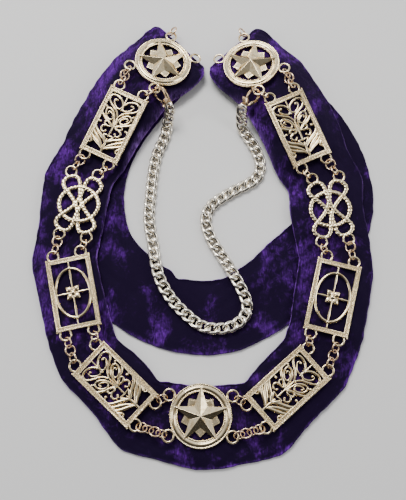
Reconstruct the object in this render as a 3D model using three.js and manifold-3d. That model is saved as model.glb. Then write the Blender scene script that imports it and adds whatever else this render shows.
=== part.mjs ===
import * as THREE from "three";
import { mergeVertices } from "three/addons/utils/BufferGeometryUtils.js";
import Module from "manifold-3d";

const wasm = await Module();
wasm.setup();

// A chain of office lying flat: a closed velvet collar folded under at both shoulders, eleven pierced plates
// joined by jump rings round its front, and a curb chain between two lobster clasps across the neck opening.
// The bottom disc is at the -Y end, the shoulders are at the +Y end, and the front faces +Z.

// Driving dimensions, in millimetres and degrees
const CLEARANCE = 0.3;
const CLOTH = 3;
const BAND_WIDTH = 76;
const PLATE_THICKNESS = 2.6;

const DISC_DIAMETER = 60;
const DISC_HOLE = 44;
const DISC_CROWN = 0.6;
const STAR_DIAMETER = 54.6;
const STAR_VALLEY = 0.4;
const STAR_HEIGHT = 5;
const BURST_DIAMETER = 39;
const BURST_WAIST = 0.72;

const FILIGREE_WIDTH = 43;
const FILIGREE_LENGTH = 73;
const FILIGREE_BORDER = 4.8;
const SCROLL_WIDTH = 1.9;
const SCROLL_THICKNESS = 1.8;

const ROSETTE_WIDTH = 44;
const ROSETTE_LENGTH = 71.5;
const ROSETTE_BORDER = 4.5;
const OVAL_BAND = 2.8;
const PETAL_LENGTH = 9;
const PETAL_HALF_WIDTHS = [0.8, 3.4, 0.6];
const ROSETTE_HUB = 5.2;

const KNOT_CIRCLE = 43.4;
const KNOT_LOOP_LENGTH = 62;
const KNOT_LOOP_WAIST = 3;
const KNOT_LOOP_LOBE = 17;
const KNOT_LOOP_TILT = 28;
const KNOT_BAND = 3.4;

const LOOP_DIAMETER = 13;
const LOOP_WIRE = 2.2;
const LOOP_BITE = 2.9;
const DISC_LOOP_BITE = 0.9;
const DISC_LOOP_ANGLE = 31.5;
const LOOP_SPREAD = 13.8;

const RING_DIAMETER = 12;
const RING_WIRE = 1.7;
const RING_LEAN = 45;
const LINK_SLACK = 1.1;
const RING_PLAY = 0.45;
const WIRE_SIDES = 4;
const WIRE_STEPS = 8;

const CLASP_WIRE = 2.6;
const CLASP_BOW = 9.6;
const CLASP_LENGTH = 27;
const CLASP_EYE = 5.6;
const CLASP_LEAN = 42;
const CLASP_SLACK = 1.3;
const LEVER_THICKNESS = 1.4;
const LEVER_WIDTH = 2;
const LEVER_PIN = 1.5;

const CURB_WIDTH = 12.6;
const CURB_THICKNESS = 4;

// What follows from them
const LAYER = CLOTH + CLEARANCE;
const LOOP_RADIUS = (LOOP_DIAMETER - LOOP_WIRE) / 2;
const RING_RADIUS = (RING_DIAMETER - RING_WIRE) / 2;
const TAUT_PITCH = LOOP_RADIUS + RING_RADIUS - (LOOP_WIRE + RING_WIRE) / 2;
const INNER_LINK = 2 * (TAUT_PITCH - LINK_SLACK);
const RING_DROP = RING_RADIUS * Math.sin(THREE.MathUtils.degToRad(RING_LEAN)) + RING_WIRE / 2;
const LINK_DIP = RING_DROP - PLATE_THICKNESS / 2;
const PLANE_HEIGHT = CLOTH + LINK_DIP + CLEARANCE + PLATE_THICKNESS / 2;

const GOLD = { color: 0xe6d3a0, roughness: 0.25, metalness: 1 };
const COPPER_GOLD = { color: 0xc89468, roughness: 0.3, metalness: 1 };
const SILVER_GOLD = { color: 0xd9cdb4, roughness: 0.25, metalness: 1 };
const VELVET = { color: 0x2a0a5e, roughness: 0.9, metalness: 0 };

const rad = THREE.MathUtils.degToRad;
const smooth = (value, low, high) => THREE.MathUtils.smoothstep(value, low, high);
const flat = (x, y) => new THREE.Vector2(x, y);
const alongHeading = (degrees) => flat(Math.sin(rad(degrees)), Math.cos(rad(degrees)));

// Solids
function solidOf(geometry) {
  const plain = geometry.clone();
  plain.deleteAttribute("normal");
  plain.deleteAttribute("uv");
  const merged = mergeVertices(plain, 1e-4);
  const mesh = new wasm.Mesh({
    numProp: 3,
    vertProperties: merged.attributes.position.array,
    triVerts: new Uint32Array(merged.index.array),
  });
  return new wasm.Manifold(mesh);
}

function geometryOf(solid) {
  const mesh = solid.getMesh();
  const geometry = new THREE.BufferGeometry();
  geometry.setAttribute("position", new THREE.BufferAttribute(mesh.vertProperties, mesh.numProp));
  geometry.setIndex(new THREE.BufferAttribute(mesh.triVerts, 1));
  return geometry;
}

function fuse(geometries) {
  const solids = geometries.map(solidOf);
  return geometryOf(solids.reduce((whole, next) => whole.add(next)));
}

function named(name, geometry, finish) {
  const mesh = new THREE.Mesh(geometry, new THREE.MeshStandardMaterial({ ...finish, flatShading: true }));
  mesh.name = name;
  return mesh;
}

function plate(shape, thickness) {
  const geometry = new THREE.ExtrudeGeometry(shape, { depth: thickness, bevelEnabled: false });
  return geometry.translate(0, 0, -thickness / 2);
}

// A flat bar along a planar path, with its half width at each point; a closed path leaves a hole inside.
function bar(path, halfWidths, thickness, closed = false) {
  const count = path.length;
  const side = (i, sign) => {
    const before = path[closed ? (i + count - 1) % count : Math.max(i - 1, 0)];
    const after = path[closed ? (i + 1) % count : Math.min(i + 1, count - 1)];
    const along = after.clone().sub(before).normalize();
    const half = Array.isArray(halfWidths) ? halfWidths[i] : halfWidths;
    return flat(path[i].x - along.y * half * sign, path[i].y + along.x * half * sign);
  };
  const left = path.map((_, i) => side(i, 1));
  const right = path.map((_, i) => side(i, -1));
  if (!closed) return plate(new THREE.Shape([...left, ...right.reverse()]), thickness);
  const outlines = [left, right].map((line) => (THREE.ShapeUtils.area(line) < 0 ? line.reverse() : line));
  const [inner, outer] = outlines.sort((a, b) => THREE.ShapeUtils.area(a) - THREE.ShapeUtils.area(b));
  const shape = new THREE.Shape(outer);
  shape.holes.push(new THREE.Path(inner));
  return plate(shape, thickness);
}

function ovalPath(x, y, radiusX, radiusY, count) {
  return Array.from({ length: count }, (_, i) => {
    const angle = (2 * Math.PI * i) / count;
    return flat(x + radiusX * Math.cos(angle), y + radiusY * Math.sin(angle));
  });
}

function frame(width, length, border, thickness) {
  const corner = (w, l) => [flat(-w, -l), flat(w, -l), flat(w, l), flat(-w, l)];
  const shape = new THREE.Shape(corner(width / 2, length / 2));
  shape.holes.push(new THREE.Path(corner(width / 2 - border, length / 2 - border)));
  return plate(shape, thickness);
}

function wireRing(meanRadius, wire) {
  return new THREE.TorusGeometry(meanRadius, wire / 2, WIRE_SIDES, WIRE_STEPS);
}

// The four loops of a plate, at (x, y) and its mirror images
function fourLoops({ x, y }) {
  return [[x, y], [-x, y], [x, -y], [-x, -y]].map(([loopX, loopY]) =>
    wireRing(LOOP_RADIUS, LOOP_WIRE).translate(loopX, loopY, 0));
}

// Disc with a raised star
const discLoopReach = DISC_DIAMETER / 2 + LOOP_DIAMETER / 2 - DISC_LOOP_BITE;
const discLoops = {
  x: discLoopReach * Math.sin(rad(DISC_LOOP_ANGLE)),
  y: discLoopReach * Math.cos(rad(DISC_LOOP_ANGLE)),
};

function starGeometry() {
  const tip = STAR_DIAMETER / 2;
  const valley = tip * STAR_VALLEY;
  const base = -PLATE_THICKNESS / 2 + CLEARANCE;
  const crownTop = PLATE_THICKNESS / 2 + DISC_CROWN;
  const corners = Array.from({ length: 10 }, (_, i) => {
    const angle = (i * Math.PI) / 5;
    const radius = i % 2 ? valley : tip;
    return [-radius * Math.cos(angle), radius * Math.sin(angle)];
  });
  const top = corners.map(([x, y], i) => [x, y, i % 2 ? 0 : crownTop + CLEARANCE]);
  const bottom = corners.map(([x, y]) => [x, y, base]);
  const points = [...top, ...bottom, [0, 0, PLATE_THICKNESS / 2 + STAR_HEIGHT], [0, 0, base]];
  const faces = [];
  for (let i = 0; i < 10; i += 1) {
    const next = (i + 1) % 10;
    faces.push(20, next, i, i, next, i + 10, next, next + 10, i + 10, 21, i + 10, next + 10);
  }
  const geometry = new THREE.BufferGeometry();
  geometry.setAttribute("position", new THREE.Float32BufferAttribute(points.flat(), 3));
  return geometry.setIndex(faces);
}

function burstGeometry() {
  const outer = BURST_DIAMETER / 2;
  const inner = outer * BURST_WAIST;
  const corners = Array.from({ length: 10 }, (_, i) => {
    const angle = (i * Math.PI) / 5;
    const radius = i % 2 ? outer : inner;
    return flat(-radius * Math.cos(angle), radius * Math.sin(angle));
  });
  return plate(new THREE.Shape(corners), PLATE_THICKNESS - 4 * CLEARANCE);
}

// One tip of the star points to the chain's inner side: the disc's -X, or its +X on the left of the chain.
function discGeometry(side) {
  const outer = DISC_DIAMETER / 2;
  const inner = DISC_HOLE / 2;
  const half = PLATE_THICKNESS / 2;
  const width = outer - inner;
  const profile = [
    flat(inner, -half), flat(outer, -half), flat(outer, half / 2), flat(outer - 0.15 * width, half),
    flat(inner + 0.62 * width, half + DISC_CROWN), flat(inner + 0.3 * width, half - CLEARANCE),
    flat(inner, half + CLEARANCE), flat(inner, -half),
  ];
  const ring = new THREE.LatheGeometry(profile, 16).rotateX(Math.PI / 2);
  const turn = side > 0 ? 0 : Math.PI;
  return fuse([ring, starGeometry().rotateZ(turn), burstGeometry().rotateZ(turn), ...fourLoops(discLoops)]);
}

// Filigree plate: the scroll paths of its right half, in shares of the window's half width and half length.
// y runs from the leaf end (-1) to the curl end (1); turns are in full turns, counted anticlockwise.
const SCROLLS = [
  { x: 0.54, y: 0.6, radiusX: 0.57, radiusY: 0.35, shrink: 0.26, start: -0.4, turns: 1.45 },
  { x: 0.56, y: 0.03, radiusX: 0.6, radiusY: 0.2, shrink: 0.24, start: 0.42, turns: -1.2 },
  { x: 0.42, y: -0.31, radiusX: 0.47, radiusY: 0.12, shrink: 0.4, start: 0.45, turns: -0.95 },
];
const LEAVES = [
  { fromX: 0, fromY: -0.82, bendX: 0.3, bendY: -0.42, toX: 1.04, toY: -0.12 },
  { fromX: 0, fromY: -0.9, bendX: 0.5, bendY: -0.66, toX: 1.04, toY: -0.42 },
  { fromX: 0, fromY: -1.02, bendX: 0.45, bendY: -0.86, toX: 1.04, toY: -0.74 },
];
const STEMS = [
  { fromX: 0, fromY: -1.04, bendX: 0, bendY: -0.3, toX: 0, toY: 0.34 },
  { fromX: 0, fromY: 0.2, bendX: 0.05, bendY: 0.7, toX: 0, toY: 1.04 },
];

function filigreeGeometry() {
  const halfWidth = FILIGREE_WIDTH / 2 - FILIGREE_BORDER;
  const halfLength = FILIGREE_LENGTH / 2 - FILIGREE_BORDER;
  const half = SCROLL_WIDTH / 2;
  const pieces = [frame(FILIGREE_WIDTH, FILIGREE_LENGTH, FILIGREE_BORDER, PLATE_THICKNESS)];
  const blade = ({ fromX, fromY, bendX, bendY, toX, toY }, side, swell, steps) => {
    const curve = new THREE.QuadraticBezierCurve(
      flat(fromX * halfWidth * side, fromY * halfLength), flat(bendX * halfWidth * side, bendY * halfLength),
      flat(toX * halfWidth * side, toY * halfLength));
    const points = curve.getPoints(steps);
    pieces.push(bar(points, points.map((_, i) => half * (1 + swell * Math.sin((i * Math.PI) / steps))),
      SCROLL_THICKNESS));
  };
  STEMS.forEach((stem) => blade(stem, 1, 0, 1));
  for (const side of [-1, 1]) {
    LEAVES.forEach((leaf) => blade(leaf, side, 0.8, 2));
    for (const scroll of SCROLLS) {
      const steps = 7;
      const path = Array.from({ length: steps + 1 }, (_, i) => {
        const size = 1 - ((1 - scroll.shrink) * i) / steps;
        const angle = 2 * Math.PI * (scroll.start + (scroll.turns * i) / steps);
        return flat(
          side * halfWidth * (scroll.x + scroll.radiusX * size * Math.cos(angle)),
          halfLength * (scroll.y + scroll.radiusY * size * Math.sin(angle)));
      });
      pieces.push(bar(path, path.map((_, i) => (i === steps ? 1.5 * half : half)), SCROLL_THICKNESS));
    }
  }
  return fuse([...pieces, ...fourLoops(filigreeLoops)]);
}

const filigreeLoops = { x: LOOP_SPREAD, y: FILIGREE_LENGTH / 2 + LOOP_DIAMETER / 2 - LOOP_BITE };

// Rosette plate: an upright oval held in the frame, with a four-petal rosette on a cross of slim stems
const rosetteLoops = { x: LOOP_SPREAD, y: ROSETTE_LENGTH / 2 + LOOP_DIAMETER / 2 - LOOP_BITE };

function rosetteGeometry() {
  const halfWidth = ROSETTE_WIDTH / 2 - ROSETTE_BORDER;
  const halfLength = ROSETTE_LENGTH / 2 - ROSETTE_BORDER;
  const ovalX = halfWidth - OVAL_BAND / 4;
  const ovalY = halfLength * 0.78;
  const pieces = [
    frame(ROSETTE_WIDTH, ROSETTE_LENGTH, ROSETTE_BORDER, PLATE_THICKNESS),
    bar(ovalPath(0, 0, ovalX, ovalY, 14), OVAL_BAND / 2, SCROLL_THICKNESS, true),
    bar([flat(0, -halfLength - 1), flat(0, halfLength + 1)], SCROLL_WIDTH / 2, SCROLL_THICKNESS),
    bar([flat(-ovalX, 0), flat(ovalX, 0)], SCROLL_WIDTH / 2, SCROLL_THICKNESS),
    new THREE.CylinderGeometry(ROSETTE_HUB / 2, ROSETTE_HUB / 2, PLATE_THICKNESS, WIRE_STEPS).rotateX(Math.PI / 2),
  ];
  for (let petal = 0; petal < 4; petal += 1) {
    const path = [0, 0.5, 1].map((share) => flat(share * PETAL_LENGTH, 0));
    const leaf = bar(path, PETAL_HALF_WIDTHS, SCROLL_THICKNESS);
    pieces.push(leaf.rotateZ(rad(45 + 90 * petal)));
  }
  return fuse([...pieces, ...fourLoops(rosetteLoops)]);
}

// Knot plate: one circle and two long pinched loops, crossing on the plate's axis
const knotLobeY = (KNOT_LOOP_LENGTH / 2) * Math.cos(rad(KNOT_LOOP_TILT));
const KNOT_STEPS = 18;
const knotLoops = { x: LOOP_SPREAD, y: knotLobeY + LOOP_DIAMETER / 2 - LOOP_WIRE / 3 };

function knotGeometry() {
  const pieces = [bar(ovalPath(0, 0, (KNOT_CIRCLE - KNOT_BAND) / 2, (KNOT_CIRCLE - KNOT_BAND) / 2, 14),
    KNOT_BAND / 2, PLATE_THICKNESS, true)];
  for (const tilt of [-KNOT_LOOP_TILT, KNOT_LOOP_TILT]) {
    const path = Array.from({ length: KNOT_STEPS }, (_, i) => {
      const angle = (2 * Math.PI * i) / KNOT_STEPS;
      const halfWidth = KNOT_LOOP_WAIST + KNOT_LOOP_LOBE * Math.cos(angle) ** 2;
      return flat(halfWidth * Math.sin(angle), (KNOT_LOOP_LENGTH / 2) * Math.cos(angle))
        .rotateAround(flat(0, 0), rad(tilt));
    });
    pieces.push(bar(path, KNOT_BAND / 2, PLATE_THICKNESS - CLEARANCE, true));
  }
  return fuse([...pieces, ...fourLoops(knotLoops)]);
}

const KINDS = {
  disc: { loops: discLoops, halfLength: DISC_DIAMETER / 2, halfWidth: DISC_DIAMETER / 2, make: discGeometry },
  filigree: {
    loops: filigreeLoops, halfLength: FILIGREE_LENGTH / 2, halfWidth: FILIGREE_WIDTH / 2, make: filigreeGeometry,
  },
  rosette: {
    loops: rosetteLoops, halfLength: ROSETTE_LENGTH / 2, halfWidth: ROSETTE_WIDTH / 2, make: rosetteGeometry,
  },
  knot: {
    loops: knotLoops, halfLength: knotLobeY + KNOT_BAND / 2, halfWidth: KNOT_CIRCLE / 2, make: knotGeometry,
  },
};

// The right half of the chain from the bottom disc up, mirrored on the left. heading is the plate's long axis,
// in degrees clockwise from +Y, lead the direction of the ring that joins it to the plate before, and rise and
// pitch lift the plate, rise in layers of velvet. The widths of the velvet inside and outside the chain line
// are shares of the band, on the right and the left.
const CHAIN = [
  { name: "bottom_disc", kind: "disc", heading: 90, lead: 0, rise: 0, pitch: 0,
    rightIn: 0.355, rightOut: 0.684, leftIn: 0.355, leftOut: 0.684 },
  { name: "filigree_plate_lower", kind: "filigree", heading: 48, lead: 120, rise: 0.25, pitch: 1,
    rightIn: 0.447, rightOut: 0.513, leftIn: 0.46, leftOut: 0.434 },
  { name: "rosette_plate", kind: "rosette", heading: 13, lead: 10, rise: 0.8, pitch: 1,
    rightIn: 0.5, rightOut: 0.513, leftIn: 0.375, leftOut: 0.48 },
  { name: "knot_plate", kind: "knot", heading: -7, lead: -20, rise: 1.45, pitch: 1.5,
    rightIn: 0.54, rightOut: 0.46, leftIn: 0.375, leftOut: 0.54 },
  { name: "filigree_plate_upper", kind: "filigree", heading: -25, lead: -45, rise: 3.7, pitch: 7.5,
    rightIn: 0.474, rightOut: 0.632, leftIn: 0.395, leftOut: 0.605 },
  { name: "shoulder_disc", kind: "disc", heading: -44, lead: -51, rise: 3.2, pitch: -12,
    rightIn: 0.54, rightOut: 0.566, leftIn: 0.54, leftOut: 0.566 },
];

// Places the right half's plates one after another, each joined to the last by its inner loop.
function walkChain() {
  let centre = flat(0, 0);
  return CHAIN.map((row, i) => {
    const along = alongHeading(row.heading);
    const outward = flat(along.y, -along.x);
    const toLoop = (plateRow, lengthSign, axes) => {
      const place = KINDS[plateRow.kind].loops;
      const reach = place.y * Math.cos(rad(plateRow.pitch)) * lengthSign;
      return axes.outward.clone().multiplyScalar(-place.x).addScaledVector(axes.along, reach);
    };
    const axes = { along, outward };
    if (i > 0) {
      const before = CHAIN[i - 1];
      const beforeAlong = alongHeading(before.heading);
      const beforeAxes = { along: beforeAlong, outward: flat(beforeAlong.y, -beforeAlong.x) };
      centre = centre.clone().add(toLoop(before, 1, beforeAxes))
        .addScaledVector(alongHeading(row.lead), INNER_LINK)
        .sub(toLoop(row, -1, axes));
    }
    return { ...row, ...KINDS[row.kind], x: centre.x, y: centre.y };
  });
}

// A plate's place as a three.js group: its own +Y lies along the heading, +Z is its face.
function placeOf(row, side) {
  const group = new THREE.Group();
  group.rotation.order = "ZXY";
  group.rotation.set(rad(row.pitch), 0, rad(-side * row.heading));
  group.position.set(side * row.x, row.y, PLANE_HEIGHT + row.rise * LAYER);
  group.updateMatrixWorld(true);
  return group;
}

const rightHalf = walkChain();
const shoulder = rightHalf[rightHalf.length - 1];
const halfSpan = Math.max(...rightHalf.map((row) => row.x));

const plates = rightHalf.flatMap((row) => {
  if (row.name === "bottom_disc") return [{ ...row, side: 1, place: placeOf(row, 1) }];
  return [1, -1].map((side) => ({
    ...row, name: `${row.name}_${side > 0 ? "right" : "left"}`, side, place: placeOf(row, side),
  }));
});
const plateNamed = (name) => plates.find((row) => row.name === name);

// Velvet collar. The back's centre line, from the right fold round to the left one, in shares of the chain's
// half span and of its height over the bottom disc.
const BACK_LINE = [
  { x: 0.44, y: 0.972 }, { x: 0.82, y: 0.84 }, { x: 1.054, y: 0.703 }, { x: 1.093, y: 0.552 },
  { x: 0.921, y: 0.456 }, { x: 0.585, y: 0.354 }, { x: 0.32, y: 0.272 }, { x: 0, y: 0.2525 },
  { x: -0.32, y: 0.272 }, { x: -0.585, y: 0.338 }, { x: -0.843, y: 0.428 }, { x: -0.952, y: 0.565 },
  { x: -0.921, y: 0.703 }, { x: -0.742, y: 0.84 }, { x: -0.44, y: 0.972 },
];
// Bumps where the back's velvet is gathered, with the same shares, and their height and radius in cloths
const GATHERS = [
  { x: -0.28, y: 0.365, height: 1.3, radius: 5 },
  { x: 0.36, y: 0.375, height: 1.5, radius: 5 },
  { x: 0.02, y: 0.3, height: 0.5, radius: 4 },
];
const FOLD_REACH = DISC_DIAMETER / 2 - 1;
const EDGE_ROUND = CLOTH * 0.4;
const EDGE_KEEP = 0.3;
const FOLD_IN = 0.43;
const FOLD_OUT = 0.553;
const BACK_ROW_SPACING = 38;

const backPoint = ({ x, y }) => flat(x * halfSpan, y * shoulder.y);
const backCurve = new THREE.SplineCurve([
  foldCentre(1), ...BACK_LINE.map(backPoint), foldCentre(-1),
]);
const backSamples = backCurve.getPoints(160);

function foldCentre(side) {
  const along = alongHeading(shoulder.heading);
  return flat(side * (shoulder.x + along.x * FOLD_REACH), shoulder.y + along.y * FOLD_REACH);
}

// Height of what lies under the front's velvet: the floor, or the back layer
function restHeight(x, y) {
  const distance = Math.min(...backSamples.map((point) => Math.hypot(point.x - x, point.y - y)));
  return LAYER * (1 - smooth(distance, BAND_WIDTH / 2 + 5, BAND_WIDTH / 2 + 20));
}

function gatherHeight(x, y) {
  return GATHERS.reduce((sum, gather) => {
    const place = backPoint(gather);
    const reach = gather.radius * CLOTH;
    const distance = Math.hypot(place.x - x, place.y - y) / reach;
    return sum + gather.height * CLOTH * Math.exp(-distance * distance);
  }, 0);
}

// Height of the underside of a plate's plane over the point (x, y)
function undersideOf(plateRow, x, y) {
  const normal = new THREE.Vector3(0, 0, 1).applyQuaternion(plateRow.place.quaternion);
  const centre = plateRow.place.position;
  const slope = (x - centre.x) * normal.x + (y - centre.y) * normal.y;
  return centre.z - slope / normal.z - PLATE_THICKNESS / 2;
}

// One cross row of the velvet: the fourteen points of its profile, from the inner edge over the face to the
// outer edge and back along the other side. at(across, face) gives the point on either side of the cloth.
function velvetRow({ inner, outer, flatIn, flatOut, at }) {
  const middle = (a, b) => (a + b) / 2;
  const face = [-inner + EDGE_ROUND, -middle(inner, flatIn), -flatIn, 0, flatOut, middle(outer, flatOut),
    outer - EDGE_ROUND];
  const back = [outer - EDGE_ROUND, flatOut, 0, -flatIn, -inner + EDGE_ROUND];
  const edge = (across) => at(across, 1).add(at(across, 0)).multiplyScalar(0.5);
  return [...face.map((across) => at(across, 1)), edge(outer), ...back.map((across) => at(across, 0)),
    edge(-inner)];
}

// How far to either side a plate and its rings need the velvet flat, at a distance along its axis
function flatReach(plateRow, distance, inner, outer) {
  const round = Math.sqrt(Math.max(plateRow.halfWidth ** 2 - distance ** 2, 0));
  const rings = plateRow.loops.x + LOOP_DIAMETER / 2;
  const reach = 1.5 + (plateRow.kind === "disc" ? Math.max(round, rings) : plateRow.halfWidth);
  return { flatIn: Math.min(reach, inner - 5), flatOut: Math.min(reach, outer - 5) };
}

// A front row crosses the chain at a distance from the plate's centre, turned a share of the way to the
// neighbour's heading; dip lowers it under the rings.
function frontRow(plateRow, neighbour, distance, turn, dip, keep) {
  const heading = (row) => (row.side > 0 ? row.heading : 180 - row.heading);
  const own = heading(plateRow);
  const turned = alongHeading(own + turn * (heading(neighbour) - own));
  const outward = flat(turned.y, -turned.x);
  const along = alongHeading(own);
  const centre = flat(plateRow.place.position.x, plateRow.place.position.y)
    .addScaledVector(along, distance);
  const share = Math.abs(distance) / plateRow.halfLength / 2;
  const widths = (row) => (row.side > 0 ? [row.rightIn, row.rightOut] : [row.leftIn, row.leftOut]);
  const [ownIn, ownOut] = widths(plateRow);
  const [nextIn, nextOut] = widths(neighbour);
  const inner = BAND_WIDTH * (ownIn + (nextIn - ownIn) * share);
  const outer = BAND_WIDTH * (ownOut + (nextOut - ownOut) * share);
  const { flatIn, flatOut } = flatReach(plateRow, distance, inner, outer);
  const at = (across, face) => {
    const x = centre.x + outward.x * across;
    const y = centre.y + outward.y * across;
    const held = THREE.MathUtils.clamp(across, -flatIn, flatOut);
    const heldX = centre.x + outward.x * held;
    const heldY = centre.y + outward.y * held;
    const lying = restHeight(x, y) + CLOTH;
    const carried = undersideOf(plateRow, heldX, heldY) - CLEARANCE - dip * LINK_DIP;
    const past = across < 0 ? (held - across) / (inner - flatIn) : (across - held) / (outer - flatOut);
    const edge = lying + keep * (carried - lying);
    const top = Math.max(carried + (edge - carried) * smooth(past, 0, 1), past > 0 ? lying : 0);
    return new THREE.Vector3(x, y, top - (face ? 0 : CLOTH));
  };
  return { inner, outer, flatIn, flatOut, at };
}

function frontRows(order) {
  return order.flatMap((plateRow, i) => {
    const before = order[Math.max(i - 1, 0)];
    const after = order[Math.min(i + 1, order.length - 1)];
    const reach = plateRow.halfLength;
    const slope = LINK_DIP * 2;
    const keepBefore = i === 0 ? 1 : EDGE_KEEP;
    const keepAfter = i === order.length - 1 ? 1 : EDGE_KEEP;
    const rows = [
      [before, -reach, 0.35, 1, keepBefore], [before, -(reach - slope), 0.2, 0, keepBefore],
      [after, 0, 0, 0, EDGE_KEEP], [after, reach - slope, 0.2, 0, keepAfter],
      [after, reach, 0.35, 1, keepAfter],
    ];
    if (i === 0) rows.shift();
    if (i === order.length - 1) rows.pop();
    return rows.map(([neighbour, distance, turn, dip, keep]) =>
      frontRow(plateRow, neighbour, distance, turn, dip, keep));
  });
}

// The fold at a shoulder: rows turn over an axis across the band, from the front's height down to the floor's.
function foldRows(side) {
  const centre = foldCentre(side);
  const along = alongHeading(side > 0 ? shoulder.heading : 180 - shoulder.heading).multiplyScalar(side);
  const outward = alongHeading(side > 0 ? shoulder.heading + 90 : 270 - shoulder.heading);
  const inner = BAND_WIDTH * FOLD_IN;
  const outer = BAND_WIDTH * FOLD_OUT;
  const disc = plateNamed(`shoulder_disc_${side > 0 ? "right" : "left"}`);
  const frontTop = undersideOf(disc, centre.x, centre.y) - CLEARANCE - LINK_DIP;
  const radius = frontTop / 2;
  const turns = [0, 45, 90, 135, 180].map((angle) => {
    const at = (across, face) => {
      const reach = radius + (face ? 0 : -CLOTH);
      const out = reach * Math.sin(rad(angle));
      return new THREE.Vector3(
        centre.x + outward.x * across + along.x * out, centre.y + outward.y * across + along.y * out,
        radius + reach * Math.cos(rad(angle)));
    };
    const corner = 1 - 0.06 * Math.sin(rad(angle));
    return { inner: inner * corner, outer: outer * corner, ...flatReach(shoulder, FOLD_REACH, inner, outer), at };
  });
  return side > 0 ? turns : turns.reverse();
}

function backRows() {
  const length = backCurve.getLength();
  const count = Math.round(length / BACK_ROW_SPACING);
  return Array.from({ length: count - 1 }, (_, i) => {
    const share = (i + 1) / count;
    const centre = backCurve.getPointAt(share);
    const tangent = backCurve.getTangentAt(share);
    const outward = flat(-tangent.y, tangent.x);
    const fromFold = Math.min(share, 1 - share) * length;
    const spread = 1 - smooth(fromFold, 0, BAND_WIDTH);
    const inner = BAND_WIDTH * (0.5 + (FOLD_IN - 0.5) * spread);
    const outer = BAND_WIDTH * (0.5 + (FOLD_OUT - 0.5) * spread);
    const at = (across, face) => {
      const x = centre.x + outward.x * across;
      const y = centre.y + outward.y * across;
      return new THREE.Vector3(x, y, gatherHeight(x, y) + (face ? 0 : CLOTH));
    };
    return { inner, outer, flatIn: inner / 2, flatOut: outer / 2, at };
  });
}

function velvetGeometry() {
  const right = plates.filter((row) => row.side > 0 && row.name !== "bottom_disc");
  const left = plates.filter((row) => row.side < 0).reverse();
  const front = frontRows([...left, plateNamed("bottom_disc"), ...right]);
  const rows = [
    ...front, ...foldRows(1), ...backRows(), ...foldRows(-1),
  ].map(velvetRow);
  const size = rows[0].length;
  const faces = rows.flatMap((_, i) => Array.from({ length: size }, (__, j) => {
    const a = i * size + j;
    const b = i * size + ((j + 1) % size);
    const c = ((i + 1) % rows.length) * size + ((j + 1) % size);
    const d = ((i + 1) % rows.length) * size + j;
    return [a, b, c, a, c, d];
  }).flat());
  const geometry = new THREE.BufferGeometry().setFromPoints(rows.flat());
  return geometry.setIndex(faces);
}

// Jump rings in a row from one point to another, leaning to either side of the line in turn
function ringRow(name, side, from, to) {
  const span = to.clone().sub(from);
  const count = Math.ceil(span.length() / (TAUT_PITCH - RING_PLAY)) - 1;
  return Array.from({ length: count }, (_, i) => {
    const ring = named(`${name}_${i + 1}`, wireRing(RING_RADIUS, RING_WIRE), COPPER_GOLD);
    ring.position.copy(from).addScaledVector(span, (i + 1) / (count + 1));
    aim(ring, span, side * (i % 2 ? -1 : 1) * RING_LEAN);
    return ring;
  });
}

// Turns an object so that its own +X lies along a direction and its +Z leans from the upright about it
function aim(object, direction, lean) {
  const along = direction.clone().normalize();
  const across = new THREE.Vector3(0, 0, 1).cross(along).normalize();
  const upright = along.clone().cross(across);
  object.quaternion.setFromRotationMatrix(new THREE.Matrix4().makeBasis(along, across, upright));
  object.rotateX(rad(lean));
}

function loopPoint(plateRow, outerLoop, upperLoop) {
  const outwardX = plateRow.side * plateRow.loops.x * (outerLoop ? 1 : -1);
  const local = new THREE.Vector3(outwardX, plateRow.loops.y * (upperLoop ? 1 : -1), 0);
  return local.applyMatrix4(plateRow.place.matrixWorld);
}

function jumpRings() {
  const rings = [];
  for (const side of [1, -1]) {
    const word = side > 0 ? "right" : "left";
    const half = plates.filter((row) => row.side === side && row.name !== "bottom_disc");
    const bottom = { ...plateNamed("bottom_disc"), side };
    half.forEach((plateRow, i) => {
      const before = i ? half[i - 1] : bottom;
      const joint = `${word}_${i + 1}`;
      for (const outerLoop of [false, true]) {
        const from = i || side > 0 ? loopPoint(before, outerLoop, true) : bottomLeftLoop(outerLoop);
        rings.push(...ringRow(`ring_${outerLoop ? "outer" : "inner"}_${joint}`, side, from,
          loopPoint(plateRow, outerLoop, false)));
      }
    });
  }
  return rings;
}

// The bottom disc lies across the chain, so its left loops are its lower pair, with the outer one at -Y.
function bottomLeftLoop(outerLoop) {
  const bottom = plateNamed("bottom_disc");
  const local = new THREE.Vector3((outerLoop ? 1 : -1) * discLoops.x, -discLoops.y, 0);
  return local.applyMatrix4(bottom.place.matrixWorld);
}

// Spare jump rings on the shoulder discs' upper outer loops
function spareRings() {
  return [1, -1].map((side) => {
    const disc = plateNamed(`shoulder_disc_${side > 0 ? "right" : "left"}`);
    const loop = loopPoint(disc, true, true);
    const centre = disc.place.position;
    const outward = loop.clone().sub(centre).normalize();
    const ring = named(`ring_spare_${side > 0 ? "right" : "left"}`, wireRing(RING_RADIUS, RING_WIRE), COPPER_GOLD);
    ring.position.copy(loop).addScaledVector(outward, TAUT_PITCH - LINK_SLACK);
    aim(ring, outward, side * RING_LEAN);
    return ring;
  });
}

// Lobster clasp, in its own frame: hook end at +X, eye at -X, the lever on the +Y side, both about its pivot.
const bowRadius = (CLASP_BOW + CLASP_WIRE) / 2;
const claspTop = CLASP_LENGTH / 2;
const bowCentre = claspTop - bowRadius - CLASP_WIRE / 2;
const pivot = flat(-CLASP_LENGTH * 0.2, bowRadius * 0.55);
const leverGap = LEVER_THICKNESS / 2 + CLEARANCE;
const cheekThickness = (CLASP_WIRE + 1.6) / 2 - leverGap;

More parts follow.
